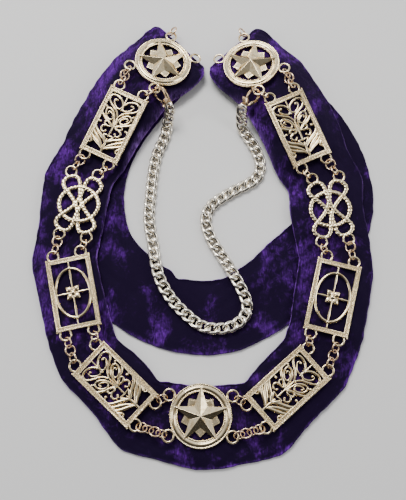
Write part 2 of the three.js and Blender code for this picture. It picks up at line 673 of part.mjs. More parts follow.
function claspBodyGeometry() {
  const back = -CLASP_LENGTH * 0.2;
  const hook = [
    flat(back - 2, -bowRadius * 0.3), flat(back + 3, -bowRadius * 0.72), flat(bowCentre - 3, -bowRadius),
    ...[-90, -55, -20, 15, 50, 78].map((angle) =>
      flat(bowCentre + bowRadius * Math.cos(rad(angle)), bowRadius * Math.sin(rad(angle)))),
  ];
  const half = CLASP_WIRE / 2;
  const pieces = [
    bar(hook, hook.map((_, i) => (i < 2 ? half * 1.4 : half)), CLASP_WIRE),
    wireRing(CLASP_EYE / 2, CLASP_WIRE * 0.6).translate(back - 2 - CLASP_EYE / 2 - half, 0, 0),
    plate(new THREE.Shape([flat(back - 3.4, -3), flat(back - 1.2, -3.6), flat(back - 1.2, 2),
      flat(back - 3.4, 2)]), CLASP_WIRE + 1.6),
  ];
  const cheek = [flat(back - 3, -2), flat(back + 1.4, -2.6), flat(pivot.x + 2.4, pivot.y),
    flat(pivot.x + 0.6, pivot.y + 1.7), flat(pivot.x - 1.4, pivot.y + 1.4), flat(back - 3, 1.4)];
  for (const side of [-1, 1]) {
    pieces.push(plate(new THREE.Shape(cheek), cheekThickness)
      .translate(0, 0, side * (leverGap + cheekThickness / 2)));
  }
  pieces.push(new THREE.CylinderGeometry(LEVER_PIN / 2, LEVER_PIN / 2, 2 * leverGap + cheekThickness, 8)
    .rotateX(Math.PI / 2).translate(pivot.x, pivot.y, 0));
  const slot = plate(new THREE.Shape(ovalPath(pivot.x, pivot.y, leverSweep, leverSweep, 12)), 2 * leverGap);
  const pin = pieces.pop();
  const body = pieces.map(solidOf).reduce((whole, next) => whole.add(next));
  return geometryOf(body.subtract(solidOf(slot)).add(solidOf(pin)));
}

const leverBoss = LEVER_PIN / 2 + CLEARANCE + 0.9;
const leverSweep = leverBoss + CLEARANCE;

function claspLeverGeometry() {
  const hole = ovalPath(0, 0, LEVER_PIN / 2 + CLEARANCE, LEVER_PIN / 2 + CLEARANCE, 8);
  const boss = new THREE.Shape(ovalPath(0, 0, leverBoss, leverBoss, 10));
  const tip = flat(bowCentre - pivot.x - 0.6, bowRadius - pivot.y - 0.2);
  const arm = bar([flat(leverBoss * 0.7, leverBoss * 0.3), flat(tip.x * 0.6, tip.y * 0.75), tip],
    LEVER_WIDTH / 2, LEVER_THICKNESS);
  const thumb = bar([flat(0, leverBoss * 0.6), flat(-1.6, leverBoss + 1.6)], LEVER_WIDTH / 2, LEVER_THICKNESS);
  const whole = [plate(boss, LEVER_THICKNESS), arm, thumb].map(solidOf)
    .reduce((sum, next) => sum.add(next));
  return geometryOf(whole.subtract(solidOf(plate(new THREE.Shape(hole), 3 * LEVER_THICKNESS))));
}

// Which way each clasp hangs from its disc's loop: its heading, and its slope down, both in degrees
const CLASP_ENDS = [
  { side: 1, heading: -139, drop: -6 },
  { side: -1, heading: 139, drop: -6 },
];

function clasps() {
  return CLASP_ENDS.map(({ side, heading, drop }) => {
    const word = side > 0 ? "right" : "left";
    const loop = loopPoint(plateNamed(`shoulder_disc_${word}`), false, false);
    const way = alongHeading(heading);
    const toEye = new THREE.Vector3(way.x * Math.cos(rad(drop)), way.y * Math.cos(rad(drop)),
      -Math.sin(rad(drop)));
    const group = new THREE.Group();
    aim(group, toEye.clone().negate(), side * CLASP_LEAN);
    const wireInside = claspTop - CLASP_WIRE - LOOP_WIRE / 2 - CLASP_SLACK;
    group.position.copy(loop).addScaledVector(toEye, LOOP_RADIUS + wireInside);
    const body = named(`clasp_body_${word}`, claspBodyGeometry(), COPPER_GOLD);
    const lever = named(`clasp_lever_${word}`, claspLeverGeometry(), COPPER_GOLD);
    lever.position.set(pivot.x, pivot.y, 0);
    group.add(body, lever);
    group.updateMatrixWorld(true);
    const eyeEnd = -CLASP_LENGTH * 0.2 - 2 - CLASP_EYE - CLASP_WIRE - CLEARANCE;
    const pastEye = [0, -CURB_THICKNESS].map((x) => group.localToWorld(new THREE.Vector3(eyeEnd + x, 0, 0)));
    return { group, pastEye };
  });
}

// The curb chain's route from the left clasp to the right one, over the floor and the crescent. x and y are
// in shares as for the back's line.
const CURB_ROUTE = [
  { x: -0.32, y: 0.82 }, { x: -0.34, y: 0.78 }, { x: -0.395, y: 0.735 },
  { x: -0.425, y: 0.675 }, { x: -0.44, y: 0.6 }, { x: -0.445, y: 0.53 },
  { x: -0.405, y: 0.46 }, { x: -0.375, y: 0.4 },
  { x: -0.325, y: 0.35 }, { x: -0.23, y: 0.3 }, { x: -0.117, y: 0.262 },
  { x: -0.015, y: 0.235 }, { x: 0.11, y: 0.227 }, { x: 0.22, y: 0.233 },
  { x: 0.31, y: 0.254 }, { x: 0.35, y: 0.288 }, { x: 0.312, y: 0.328 },
  { x: 0.242, y: 0.374 }, { x: 0.148, y: 0.428 }, { x: 0.062, y: 0.475 },
  { x: 0.01, y: 0.53 }, { x: 0.045, y: 0.573 }, { x: 0.14, y: 0.6 },
  { x: 0.26, y: 0.626 }, { x: 0.38, y: 0.648 }, { x: 0.44, y: 0.67 },
  { x: 0.455, y: 0.705 }, { x: 0.42, y: 0.745 }, { x: 0.36, y: 0.782 },
  { x: 0.3, y: 0.815 },
];
const CURB_STEPS = 44;

// The highest point of the back's velvet, or of the floor, under the chain's width at a place
function heightUnder(point) {
  const reach = CURB_WIDTH / 2;
  return Math.max(...[[0, 0], [reach, 0], [-reach, 0], [0, reach], [0, -reach]].map(([dx, dy]) =>
    restHeight(point.x + dx, point.y + dy) + gatherHeight(point.x + dx, point.y + dy)));
}

function curbGeometry(startPoints, endPoints) {
  const route = CURB_ROUTE.map((place) => {
    const point = backPoint(place);
    return new THREE.Vector3(point.x, point.y, CURB_THICKNESS / 2 + CLEARANCE + heightUnder(point));
  });
  const curve = new THREE.CatmullRomCurve3([...startPoints, ...route, ...endPoints]);
  const halfWide = CURB_WIDTH / 2;
  const halfThick = CURB_THICKNESS / 2;
  const corner = halfThick * 0.6;
  const section = [
    flat(-halfThick, -halfWide + corner), flat(-halfThick + corner, -halfWide),
    flat(halfThick - corner, -halfWide), flat(halfThick, -halfWide + corner),
    flat(halfThick, halfWide - corner), flat(halfThick - corner, halfWide),
    flat(-halfThick + corner, halfWide), flat(-halfThick, halfWide - corner),
  ];
  return sweepFlat(curve, section, CURB_STEPS);
}

// Sweeps a section along a curve with its first axis kept upright
function sweepFlat(curve, section, steps) {
  const rows = Array.from({ length: steps + 1 }, (_, i) => {
    const point = curve.getPointAt(i / steps);
    const along = curve.getTangentAt(i / steps);
    const across = new THREE.Vector3(along.y, -along.x, 0).normalize();
    const upright = across.clone().cross(along).normalize();
    return section.map(({ x, y }) => point.clone().addScaledVector(upright, x).addScaledVector(across, y));
  });
  const size = section.length;
  const faces = [];
  for (let i = 0; i < steps; i += 1) {
    for (let j = 0; j < size; j += 1) {
      const next = (j + 1) % size;
      const a = i * size + j;
      const b = i * size + next;
      faces.push(a, b, b + size, a, b + size, a + size);
    }
  }
  for (let j = 1; j < size - 1; j += 1) {
    faces.push(0, j + 1, j);
    const last = steps * size;
    faces.push(last, last + j, last + j + 1);
  }
  return new THREE.BufferGeometry().setFromPoints(rows.flat()).setIndex(faces);
}

// The whole part, standing on the floor with its box centred on the origin
const chain = new THREE.Group();
chain.add(named("velvet_collar", velvetGeometry(), VELVET));
for (const plateRow of plates) {
  const mesh = named(plateRow.name, plateRow.make(plateRow.side), GOLD);
  plateRow.place.add(mesh);
  chain.add(plateRow.place);
}
chain.add(...jumpRings(), ...spareRings());
const [rightClasp, leftClasp] = clasps();
chain.add(rightClasp.group, leftClasp.group);
chain.add(named("curb_chain", curbGeometry(leftClasp.pastEye, rightClasp.pastEye.reverse()), SILVER_GOLD));

const box = new THREE.Box3().setFromObject(chain, true);
const middle = box.getCenter(new THREE.Vector3());
chain.position.set(-middle.x, -middle.y, -box.min.z);

export default chain;
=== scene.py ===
"""A chain of office lying flat on a pale floor: a crushed velvet collar, eleven gilt plates on jump
rings, and a curb chain between two lobster clasps. The metal pieces' shapes are worked out in
millimetres, and all the rest is in metres."""

import bmesh
import bpy
import numpy as np
from mathutils import Matrix, Vector
from mathutils.bvhtree import BVHTree


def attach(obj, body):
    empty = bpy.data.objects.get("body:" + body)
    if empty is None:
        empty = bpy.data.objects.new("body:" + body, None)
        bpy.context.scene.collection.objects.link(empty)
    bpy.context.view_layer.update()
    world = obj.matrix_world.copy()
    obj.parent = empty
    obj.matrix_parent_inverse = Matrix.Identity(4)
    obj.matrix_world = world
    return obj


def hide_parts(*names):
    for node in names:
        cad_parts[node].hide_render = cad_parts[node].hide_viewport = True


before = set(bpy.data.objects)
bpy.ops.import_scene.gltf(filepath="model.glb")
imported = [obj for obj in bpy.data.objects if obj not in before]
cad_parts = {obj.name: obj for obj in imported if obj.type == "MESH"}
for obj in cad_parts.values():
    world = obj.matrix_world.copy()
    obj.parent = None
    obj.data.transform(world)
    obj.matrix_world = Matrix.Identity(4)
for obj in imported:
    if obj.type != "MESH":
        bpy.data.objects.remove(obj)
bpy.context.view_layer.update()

# Camera
# It looks down on the chain from the bottom disc's side, 12 degrees off the upright, and is turned by one
# degree, as the chain lies in the photograph. The focal length is in pixels of a frame 500 pixels high.
IMAGE_LONG_SIDE = 500
FOCAL_PIXELS = 550
SENSOR = 36.0
CAMERA_DISTANCE = 0.556
CAMERA_ELEVATION = np.radians(78.0)
CAMERA_ROLL = np.radians(1.06)
MIDDLE_OF_VIEW = Vector((-0.0021, -0.0193, 0.006))

camera_data = bpy.data.cameras.new("camera")
camera_data.sensor_fit = "AUTO"
camera_data.sensor_width = SENSOR
camera_data.lens = SENSOR * FOCAL_PIXELS / IMAGE_LONG_SIDE
camera = bpy.data.objects.new("camera", camera_data)
bpy.context.scene.collection.objects.link(camera)
towards = Vector((0.0, -np.cos(CAMERA_ELEVATION), np.sin(CAMERA_ELEVATION)))
sideways = Vector((1.0, 0.0, 0.0))
above = towards.cross(sideways)
facing = Matrix((sideways, above, towards)).transposed()
roll = Matrix.Rotation(CAMERA_ROLL, 3, "Z")
camera_place = Matrix.Translation(MIDDLE_OF_VIEW + towards * CAMERA_DISTANCE)
camera.matrix_world = camera_place @ (facing @ roll).to_4x4()
bpy.context.scene.camera = camera

# Velvet collar
# A padded strap of crushed velvet, sewn edge to edge and turned under at both shoulders. The crushed pile
# lies in patches from almost black to violet, the violet partly a painted sheen; faces turned towards the
# key light are painted lighter, and a painted highlight runs along the rolled edges.
# The pile's dark and lit purples: the crushed patches are its own, and the lit purple is partly a painted
# sheen.
VELVET_DEEP = (0.0055, 0.0008, 0.016, 1.0)
VELVET_LIT = (0.130, 0.015, 0.320, 1.0)
# The pale violet of the painted highlight along the hem.
VELVET_HEM_HIGHLIGHT = (0.420, 0.180, 0.780, 1.0)
VELVET_SHEEN = (0.60, 0.25, 0.95, 1.0)
ROUNDING_LEVELS = 3
PATCH_SCALE = 26.0
CRUSH_DEPTH = 0.0008
FOLD_DEPTH = 0.0010
CREASE_DEPTH = 0.0006
HEM_WIDTH = 0.0055
HEM_AVERAGES = 14
HEM_RISE = 0.0014
HEM_PUCKER = 0.0012
DEEPEST_SINK = 0.0020
HIGHEST_RISE = 0.0022
# The key light's side, towards which faces are painted lighter.
LIT_SIDE_DIRECTION = np.array([-0.55, 0.75, 0.0])
# Small gathers of the neckline: place x and y, shift x and y, and reach, in millimetres.
TUCKS = ((-33.4, -43.5, 0.8, 1.2, 6.0), (-26.5, -46.0, -1.0, -3.2, 7.0),
         (52.0, -36.0, 2.2, -3.4, 11.0), (45.5, -38.5, -1.2, 1.0, 5.0))


def node_vertices(name):
    """The CAD node's vertices in the shared frame, as one array of rows x, y, z in metres."""
    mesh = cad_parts[name].data
    points = np.empty(len(mesh.vertices) * 3)
    mesh.vertices.foreach_get("co", points)
    return points.reshape(-1, 3)


def smooth_noise(points, scale, seed):
    """A smooth value at each point, about -1 to 1: the mean of eight sine waves with seeded directions,
    lengths and phases, made 1.8 times as strong."""
    rng = np.random.default_rng(seed)
    waves = rng.normal(size=(8, 3))
    waves *= (rng.uniform(0.6, 1.5, 8) / np.linalg.norm(waves, axis=1))[:, None]
    phases = rng.uniform(0, 2 * np.pi, 8)
    return np.sin(points @ waves.T * scale + phases).mean(axis=1) * 1.8


def hem_closeness(points, normals, edges):
    """1 on the rolled hem, falling to 0 beside it: how far each normal turns from the upright, averaged
    again and again with its neighbours along the mesh's edges, where a short edge counts for more."""
    close = np.clip(1.6 * (1.0 - np.abs(normals[:, 2])) - 0.3, 0, 1)
    first, second = edges.T
    length = np.linalg.norm(points[first] - points[second], axis=1)
    weight = np.exp(-((length / HEM_WIDTH) ** 2) * 2)
    total = np.bincount(first, weight, len(points)) + np.bincount(second, weight, len(points)) + 1.0
    for _ in range(HEM_AVERAGES):
        spread = (np.bincount(first, weight * close[second], len(points))
                  + np.bincount(second, weight * close[first], len(points)) + close)
        close = spread / total
    return np.clip(close * 1.4, 0, 1)


def socket(group, name, kind, way, value=None):
    """Adds a socket to a node group's interface, with its first value."""
    made = group.interface.new_socket(name=name, in_out=way, socket_type=kind)
    if value is not None:
        made.default_value = value
    return made


def nap_and_sheen_group():
    """Patches of the crushed pile, partly a painted sheen: broad patches, creases and the painted light on
    faces turned towards the key light are summed into a mask, which fine drawn-out streaks break up. The
    height is the sum of the patches and creases alone, with the pile's grain."""
    group = bpy.data.node_groups.new("velvet_nap", "ShaderNodeTree")
    socket(group, "Patch scale", "NodeSocketFloat", "INPUT", 60.0)
    socket(group, "Turned", "NodeSocketFloat", "INPUT", 0.5)
    socket(group, "Mask", "NodeSocketFloat", "OUTPUT")
    socket(group, "Height", "NodeSocketFloat", "OUTPUT")
    socket(group, "Streaks", "NodeSocketFloat", "OUTPUT")
    nodes, links = group.nodes, group.links
    entry = nodes.new("NodeGroupInput")
    leave = nodes.new("NodeGroupOutput")
    place = nodes.new("ShaderNodeTexCoord")
    patches = nodes.new("ShaderNodeTexNoise")
    patches.inputs["Detail"].default_value = 3.5
    patches.inputs["Roughness"].default_value = 0.5
    patches.inputs["Distortion"].default_value = 0.7
    creases = nodes.new("ShaderNodeTexNoise")
    creases.inputs["Scale"].default_value = 130.0
    creases.inputs["Detail"].default_value = 3.0
    creases.inputs["Distortion"].default_value = 2.2
    pile = nodes.new("ShaderNodeTexNoise")
    pile.inputs["Scale"].default_value = 2600.0
    pile.inputs["Detail"].default_value = 2.0
    ramp = nodes.new("ShaderNodeValToRGB")
    ramp.color_ramp.interpolation = "EASE"
    ramp.color_ramp.elements[0].position = 0.615
    ramp.color_ramp.elements[1].position = 0.94
    both = nodes.new("ShaderNodeMath")
    both.operation = "MULTIPLY_ADD"
    both.inputs[1].default_value = 0.28
    height = nodes.new("ShaderNodeMath")
    height.operation = "MULTIPLY_ADD"
    height.inputs[1].default_value = 0.35
    links.new(place.outputs["Object"], patches.inputs["Vector"])
    links.new(place.outputs["Object"], creases.inputs["Vector"])
    links.new(place.outputs["Object"], pile.inputs["Vector"])
    links.new(entry.outputs["Patch scale"], patches.inputs["Scale"])
    links.new(creases.outputs["Fac"], both.inputs[0])
    broad = nodes.new("ShaderNodeMath")
    broad.operation = "MULTIPLY"
    broad.inputs[1].default_value = 0.815
    links.new(patches.outputs["Fac"], broad.inputs[0])
    links.new(broad.outputs[0], both.inputs[2])
    # The turned input adds painted light, lighter on faces turned towards the key light.
    lit_side_added = nodes.new("ShaderNodeMath")
    lit_side_added.operation = "MULTIPLY_ADD"
    lit_side_added.inputs[1].default_value = 0.30
    links.new(entry.outputs["Turned"], lit_side_added.inputs[0])
    links.new(both.outputs[0], lit_side_added.inputs[2])
    links.new(lit_side_added.outputs[0], ramp.inputs["Fac"])
    drawn = nodes.new("ShaderNodeMapping")
    drawn.inputs["Rotation"].default_value = (0.0, 0.0, 0.6)
    drawn.inputs["Scale"].default_value = (2.4, 0.6, 1.0)
    streaks = nodes.new("ShaderNodeTexNoise")
    streaks.inputs["Scale"].default_value = 190.0
    streaks.inputs["Detail"].default_value = 5.0
    streaks.inputs["Distortion"].default_value = 1.2
    streak_share = nodes.new("ShaderNodeMapRange")
    streak_share.inputs["From Min"].default_value = 0.36
    streak_share.inputs["From Max"].default_value = 0.68
    streak_share.inputs["To Min"].default_value = 0.12
    streak_share.inputs["To Max"].default_value = 1.25
    broken = nodes.new("ShaderNodeMath")
    broken.operation = "MULTIPLY"
    broken.use_clamp = True
    links.new(place.outputs["Object"], drawn.inputs["Vector"])
    links.new(drawn.outputs["Vector"], streaks.inputs["Vector"])
    links.new(streaks.outputs["Fac"], streak_share.inputs["Value"])
    links.new(streak_share.outputs["Result"], broken.inputs[0])
    links.new(streak_share.outputs["Result"], leave.inputs["Streaks"])
    links.new(ramp.outputs["Color"], broken.inputs[1])
    links.new(broken.outputs[0], leave.inputs["Mask"])
    links.new(pile.outputs["Fac"], height.inputs[0])
    links.new(both.outputs[0], height.inputs[2])
    links.new(height.outputs[0], leave.inputs["Height"])
    return group


def velvet_material():
    """Deep purple pile: colour and bump from the nap, the colour partly a painted sheen and painted light,
    with a painted highlight along the hem, and a violet sheen where it is seen edge on.
    """
    material = bpy.data.materials.new("crushed_velvet")
    material.use_nodes = True
    nodes, links = material.node_tree.nodes, material.node_tree.links
    shader = nodes["Principled BSDF"]
    shader.inputs["Roughness"].default_value = 0.82
    shader.inputs["Specular IOR Level"].default_value = 0.12
    shader.inputs["Sheen Weight"].default_value = 0.27
    shader.inputs["Sheen Roughness"].default_value = 0.34
    shader.inputs["Sheen Tint"].default_value = VELVET_SHEEN
    nap = nodes.new("ShaderNodeGroup")
    nap.node_tree = nap_and_sheen_group()
    nap.inputs["Patch scale"].default_value = PATCH_SCALE
    # The mask mixes the dark and the lit purple: the crushed pile's own patches, partly a painted sheen,
    # and painted light.
    colour = nodes.new("ShaderNodeMix")
    colour.data_type = "RGBA"
    colour.inputs["A"].default_value = VELVET_DEEP
    colour.inputs["B"].default_value = VELVET_LIT
    bump = nodes.new("ShaderNodeBump")
    bump.inputs["Strength"].default_value = 0.5
    bump.inputs["Distance"].default_value = 0.0018
    # The hem attribute is a painted highlight, mixed in as a pale violet along the rolled edges where the
    # streaks allow.
    hem = nodes.new("ShaderNodeAttribute")
    hem.attribute_name = "hem"
    # The turned attribute is painted light on the faces turned towards the key light.
    turned = nodes.new("ShaderNodeAttribute")
    turned.attribute_name = "turned"
    edged = nodes.new("ShaderNodeMix")
    edged.data_type = "RGBA"
    edged.inputs["B"].default_value = VELVET_HEM_HIGHLIGHT
    links.new(turned.outputs["Fac"], nap.inputs["Turned"])
    links.new(nap.outputs["Mask"], colour.inputs["Factor"])
    links.new(colour.outputs["Result"], edged.inputs["A"])
    highlight_share = nodes.new("ShaderNodeMath")
    highlight_share.operation = "MULTIPLY"
    highlight_share.use_clamp = True
    links.new(hem.outputs["Fac"], highlight_share.inputs[0])
    links.new(nap.outputs["Streaks"], highlight_share.inputs[1])
    links.new(highlight_share.outputs[0], edged.inputs["Factor"])
    links.new(edged.outputs["Result"], shader.inputs["Base Color"])
    links.new(nap.outputs["Height"], bump.inputs["Height"])
    links.new(bump.outputs["Normal"], shader.inputs["Normal"])
    return material


def applied(piece):
    """Makes a piece's modifiers part of its mesh."""
    finished = bpy.data.meshes.new_from_object(piece.evaluated_get(bpy.context.evaluated_depsgraph_get()))
    piece.modifiers.clear()
    piece.data = finished


def shaded(mesh, smooth):
    """Shades every face of a mesh smooth or flat."""
    mesh.polygons.foreach_set("use_smooth", np.full(len(mesh.polygons), smooth))


def rounded_copy(name, node, levels):
    """A copy of a CAD node's mesh, doubles merged and triangles paired, rounded by subdivision."""
    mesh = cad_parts[node].data.copy()
    work = bmesh.new()
    work.from_mesh(mesh)
    bmesh.ops.remove_doubles(work, verts=work.verts, dist=1e-6)
    bmesh.ops.join_triangles(work, faces=work.faces, angle_face_threshold=3.14, angle_shape_threshold=3.14)
    work.to_mesh(mesh)
    work.free()
    piece = bpy.data.objects.new(name, mesh)
    bpy.context.scene.collection.objects.link(piece)
    rounding = piece.modifiers.new("rounding", "SUBSURF")
    rounding.levels = levels
    rounding.render_levels = levels
    applied(piece)
    return piece


velvet = rounded_copy("crushed_velvet_collar", "velvet_collar", ROUNDING_LEVELS)
velvet_count = len(velvet.data.vertices)
cloth_points = np.empty(velvet_count * 3)
velvet.data.vertices.foreach_get("co", cloth_points)
cloth_points = cloth_points.reshape(-1, 3)
cloth_normals = np.empty(velvet_count * 3)
velvet.data.vertex_normals.foreach_get("vector", cloth_normals)
cloth_normals = cloth_normals.reshape(-1, 3)
cloth_edges = np.empty(len(velvet.data.edges) * 2, dtype=np.int64)
velvet.data.edges.foreach_get("vertices", cloth_edges)
near_hem = hem_closeness(cloth_points, cloth_normals, cloth_edges.reshape(-1, 2))
facing_up = np.clip(cloth_normals[:, 2], 0, 1)
# A painted highlight along the hem: sheen where the cloth turns to the side and is seen edge on, in
# stretches that a slow noise breaks up.
hem_highlight = np.clip(4.5 * (1.0 - np.abs(cloth_normals[:, 2])) - 0.25, 0, 1) * near_hem ** 1.3
hem_highlight *= np.clip(0.62 + 0.5 * smooth_noise(cloth_points, 150.0, 21), 0, 1)
hem_values = velvet.data.attributes.new("hem", "FLOAT", "POINT")
hem_values.data.foreach_set("value", hem_highlight.astype(np.float32))
# The surface moves along its normals: inward by the crush, the folds and the creases, the most on faces
# that look up and less at the hem, and outward by the rise of the hem's roll and by its pucker.
folds = smooth_noise(cloth_points * [1.0, 0.7, 1.0], 170.0, 31)
crush = smooth_noise(cloth_points, 420.0, 3) + 0.6 * smooth_noise(cloth_points, 950.0, 5)
creases = 1 - np.abs(smooth_noise(cloth_points * [1.0, 0.6, 1.0], 150.0, 12))
pucker = smooth_noise(cloth_points, 520.0, 8)
inward = -CRUSH_DEPTH * (0.5 + 0.5 * crush) - FOLD_DEPTH * (0.5 + 0.5 * folds)
inward -= CREASE_DEPTH * creases ** 6
rise = HEM_RISE * near_hem * (1 - near_hem) * 4 * facing_up + HEM_PUCKER * near_hem * pucker
inward *= (1 - 0.6 * near_hem) * (0.12 + 0.88 * facing_up)
moved = np.clip(inward + rise * (0.4 + 0.6 * facing_up), -DEEPEST_SINK, HIGHEST_RISE)
cloth_points += cloth_normals * moved[:, None]
for tuck_x, tuck_y, shift_x, shift_y, tuck_reach in TUCKS:
    away = np.linalg.norm(cloth_points[:, :2] * 1000 - [tuck_x, tuck_y], axis=1) / tuck_reach
    cloth_points[:, :2] += np.exp(-away ** 2)[:, None] * np.array([shift_x, shift_y]) / 1000
cloth_points[:, 2] = np.maximum(cloth_points[:, 2], 0.0)
velvet.data.vertices.foreach_set("co", cloth_points.ravel())
velvet.data.update()
velvet.data.vertex_normals.foreach_get("vector", cloth_normals.ravel())
# Painted light: faces that turn towards the key light's side are painted lighter, and a little more by the
# hem.
lie = np.clip(0.28 + 1.2 * (cloth_normals @ LIT_SIDE_DIRECTION) + 0.3 * near_hem, 0, 1)
lit_side_values = velvet.data.attributes.new("turned", "FLOAT", "POINT")
lit_side_values.data.foreach_set("value", lie.astype(np.float32))
shaded(velvet.data, True)
velvet.data.materials.clear()
velvet.data.materials.append(velvet_material())
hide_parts("velvet_collar")
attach(velvet, "collar")

# Star discs
# Three round badges, cast and plated a pale champagne gold: a ring with a milled inner border and a roped
# rim, and a five-point star over a burst of square corners. Four soldered loops take the jump rings.
CHAMPAGNE = (0.97, 0.80, 0.50, 1.0)
CHAMPAGNE_DULL = (0.58, 0.41, 0.19, 1.0)
CHAMPAGNE_HOLLOW = (0.38, 0.25, 0.10, 1.0)
PLATE_THICKNESS = 2.6
LOOP_RADIUS = 5.4
LOOP_WIRE = 2.2
DISC_RADIUS = 30.0
DISC_HOLE_RADIUS = 22.0
DISC_LOOP_REACH = 35.6
DISC_LOOP_ANGLE = np.radians(31.5)
STAR_RADIUS = 27.3
STAR_VALLEY = 0.4
STAR_PEAK = 6.3
STAR_EDGE = 0.00022
BURST_RADIUS = 19.5
BURST_NOTCH = 0.72
BURST_INSET = 1.8


def plating_group():
    """Cloudy tarnish over a plated surface, and a fine cast grain for the bump."""
    group = bpy.data.node_groups.new("plating_wear", "ShaderNodeTree")
    socket(group, "Cloud scale", "NodeSocketFloat", "INPUT", 300.0)
    socket(group, "Grain scale", "NodeSocketFloat", "INPUT", 2400.0)
    socket(group, "Bright", "NodeSocketColor", "INPUT", CHAMPAGNE)
    socket(group, "Dull", "NodeSocketColor", "INPUT", CHAMPAGNE_DULL)
    socket(group, "Smoothest", "NodeSocketFloat", "INPUT", 0.16)
    socket(group, "Roughest", "NodeSocketFloat", "INPUT", 0.42)
    socket(group, "Color", "NodeSocketColor", "OUTPUT")
    socket(group, "Roughness", "NodeSocketFloat", "OUTPUT")
    socket(group, "Height", "NodeSocketFloat", "OUTPUT")
    nodes, links = group.nodes, group.links
    entry = nodes.new("NodeGroupInput")
    leave = nodes.new("NodeGroupOutput")
    place = nodes.new("ShaderNodeTexCoord")
    cloud = nodes.new("ShaderNodeTexNoise")
    cloud.inputs["Detail"].default_value = 4.0
    grain = nodes.new("ShaderNodeTexNoise")
    grain.inputs["Detail"].default_value = 2.0
    spread = nodes.new("ShaderNodeMapRange")
    spread.inputs["From Min"].default_value = 0.46
    spread.inputs["From Max"].default_value = 0.78
    tint = nodes.new("ShaderNodeMix")
    tint.data_type = "RGBA"
    rough = nodes.new("ShaderNodeMix")
    rough.data_type = "FLOAT"
    for noise, name in ((cloud, "Cloud scale"), (grain, "Grain scale")):
        links.new(place.outputs["Object"], noise.inputs["Vector"])
        links.new(entry.outputs[name], noise.inputs["Scale"])
    links.new(cloud.outputs["Fac"], spread.inputs["Value"])
    links.new(spread.outputs["Result"], tint.inputs["Factor"])
    links.new(entry.outputs["Bright"], tint.inputs["A"])
    links.new(entry.outputs["Dull"], tint.inputs["B"])
    links.new(spread.outputs["Result"], rough.inputs["Factor"])
    links.new(entry.outputs["Smoothest"], rough.inputs["A"])
    links.new(entry.outputs["Roughest"], rough.inputs["B"])
    links.new(tint.outputs["Result"], leave.inputs["Color"])
    links.new(rough.outputs["Result"], leave.inputs["Roughness"])
    links.new(grain.outputs["Fac"], leave.inputs["Height"])
    return group


plating_wear = plating_group()


def plated(name, bright, dull, smoothest, roughest, grain_depth, cloud_scale=300.0):
    """A plated metal: the wear group's colour, roughness and grain on a metallic shader."""
    material = bpy.data.materials.new(name)
    material.use_nodes = True
    nodes, links = material.node_tree.nodes, material.node_tree.links
    shader = nodes["Principled BSDF"]
    shader.inputs["Metallic"].default_value = 1.0
    wear = nodes.new("ShaderNodeGroup")
    wear.node_tree = plating_wear
    wear.inputs["Bright"].default_value = bright
    wear.inputs["Dull"].default_value = dull
    wear.inputs["Smoothest"].default_value = smoothest
    wear.inputs["Roughest"].default_value = roughest
    wear.inputs["Grain scale"].default_value = 1500.0
    wear.inputs["Cloud scale"].default_value = cloud_scale
    bump = nodes.new("ShaderNodeBump")
    bump.inputs["Strength"].default_value = 0.5
    bump.inputs["Distance"].default_value = grain_depth
    links.new(wear.outputs["Color"], shader.inputs["Base Color"])
    links.new(wear.outputs["Roughness"], shader.inputs["Roughness"])
    links.new(wear.outputs["Height"], bump.inputs["Height"])
    links.new(bump.outputs["Normal"], shader.inputs["Normal"])
    return material


polished_gold = plated("polished_champagne_gold", CHAMPAGNE, CHAMPAGNE_DULL, smoothest=0.12, roughest=0.28,
                       grain_depth=0.00001, cloud_scale=220.0)
grained_gold = plated("grained_champagne_gold", CHAMPAGNE, CHAMPAGNE_HOLLOW, smoothest=0.24, roughest=0.5,
                      grain_depth=0.0004, cloud_scale=900.0)


def grid_shell(points, wrap_rows, wrap_columns):
    """Vertices and quads of a grid of points, rows by columns, closed round where wrap says so. Where the
    rows don't wrap, each end row is closed by one face."""
    rows, columns = points.shape[:2]
    index = np.arange(rows * columns).reshape(rows, columns)
    last_row = rows if wrap_rows else rows - 1
    last_column = columns if wrap_columns else columns - 1
    i, j = np.meshgrid(np.arange(last_row), np.arange(last_column), indexing="ij")
    down, right = (i + 1) % rows, (j + 1) % columns
    quads = np.stack([index[i, j], index[i, right], index[down, right], index[down, j]], axis=-1)
    faces = quads.reshape(-1, 4).tolist()
    if not wrap_rows:
        faces.append(index[0][::-1].tolist())
        faces.append(index[-1].tolist())
    return points.reshape(-1, 3), faces


def wire(path, across, upright, closed, sides=12):
    """A tube along a path in a plate's plane. Each section is an ellipse, across and upright its half
    width and half height, one value or one a point, and it stands square to the path."""
    path = np.asarray(path, dtype=float)
    if closed:
        along = np.roll(path, -1, axis=0) - np.roll(path, 1, axis=0)
    else:
        along = np.gradient(path, axis=0)
    along /= np.linalg.norm(along, axis=1)[:, None]
    side = np.cross(along, [0.0, 0.0, 1.0])
    side /= np.linalg.norm(side, axis=1)[:, None]
    lift = np.cross(side, along)
    angle = np.linspace(0, 2 * np.pi, sides, endpoint=False)
    wide = np.broadcast_to(across, len(path))[:, None, None]
    high = np.broadcast_to(upright, len(path))[:, None, None]
    points = (path[:, None] + wide * np.cos(angle)[None, :, None] * side[:, None]
              + high * np.sin(angle)[None, :, None] * lift[:, None])
    return grid_shell(points, closed, True)


def torus(centre, radius, thickness, count=28, sides=10):
    """A ring of round wire in a plate's plane: a circle of the given radius, carried round as a tube."""
    angle = np.linspace(0, 2 * np.pi, count, endpoint=False)
    path = np.stack([np.cos(angle) * radius, np.sin(angle) * radius, angle * 0], axis=1) + centre
    return wire(path, thickness / 2, thickness / 2, True, sides)


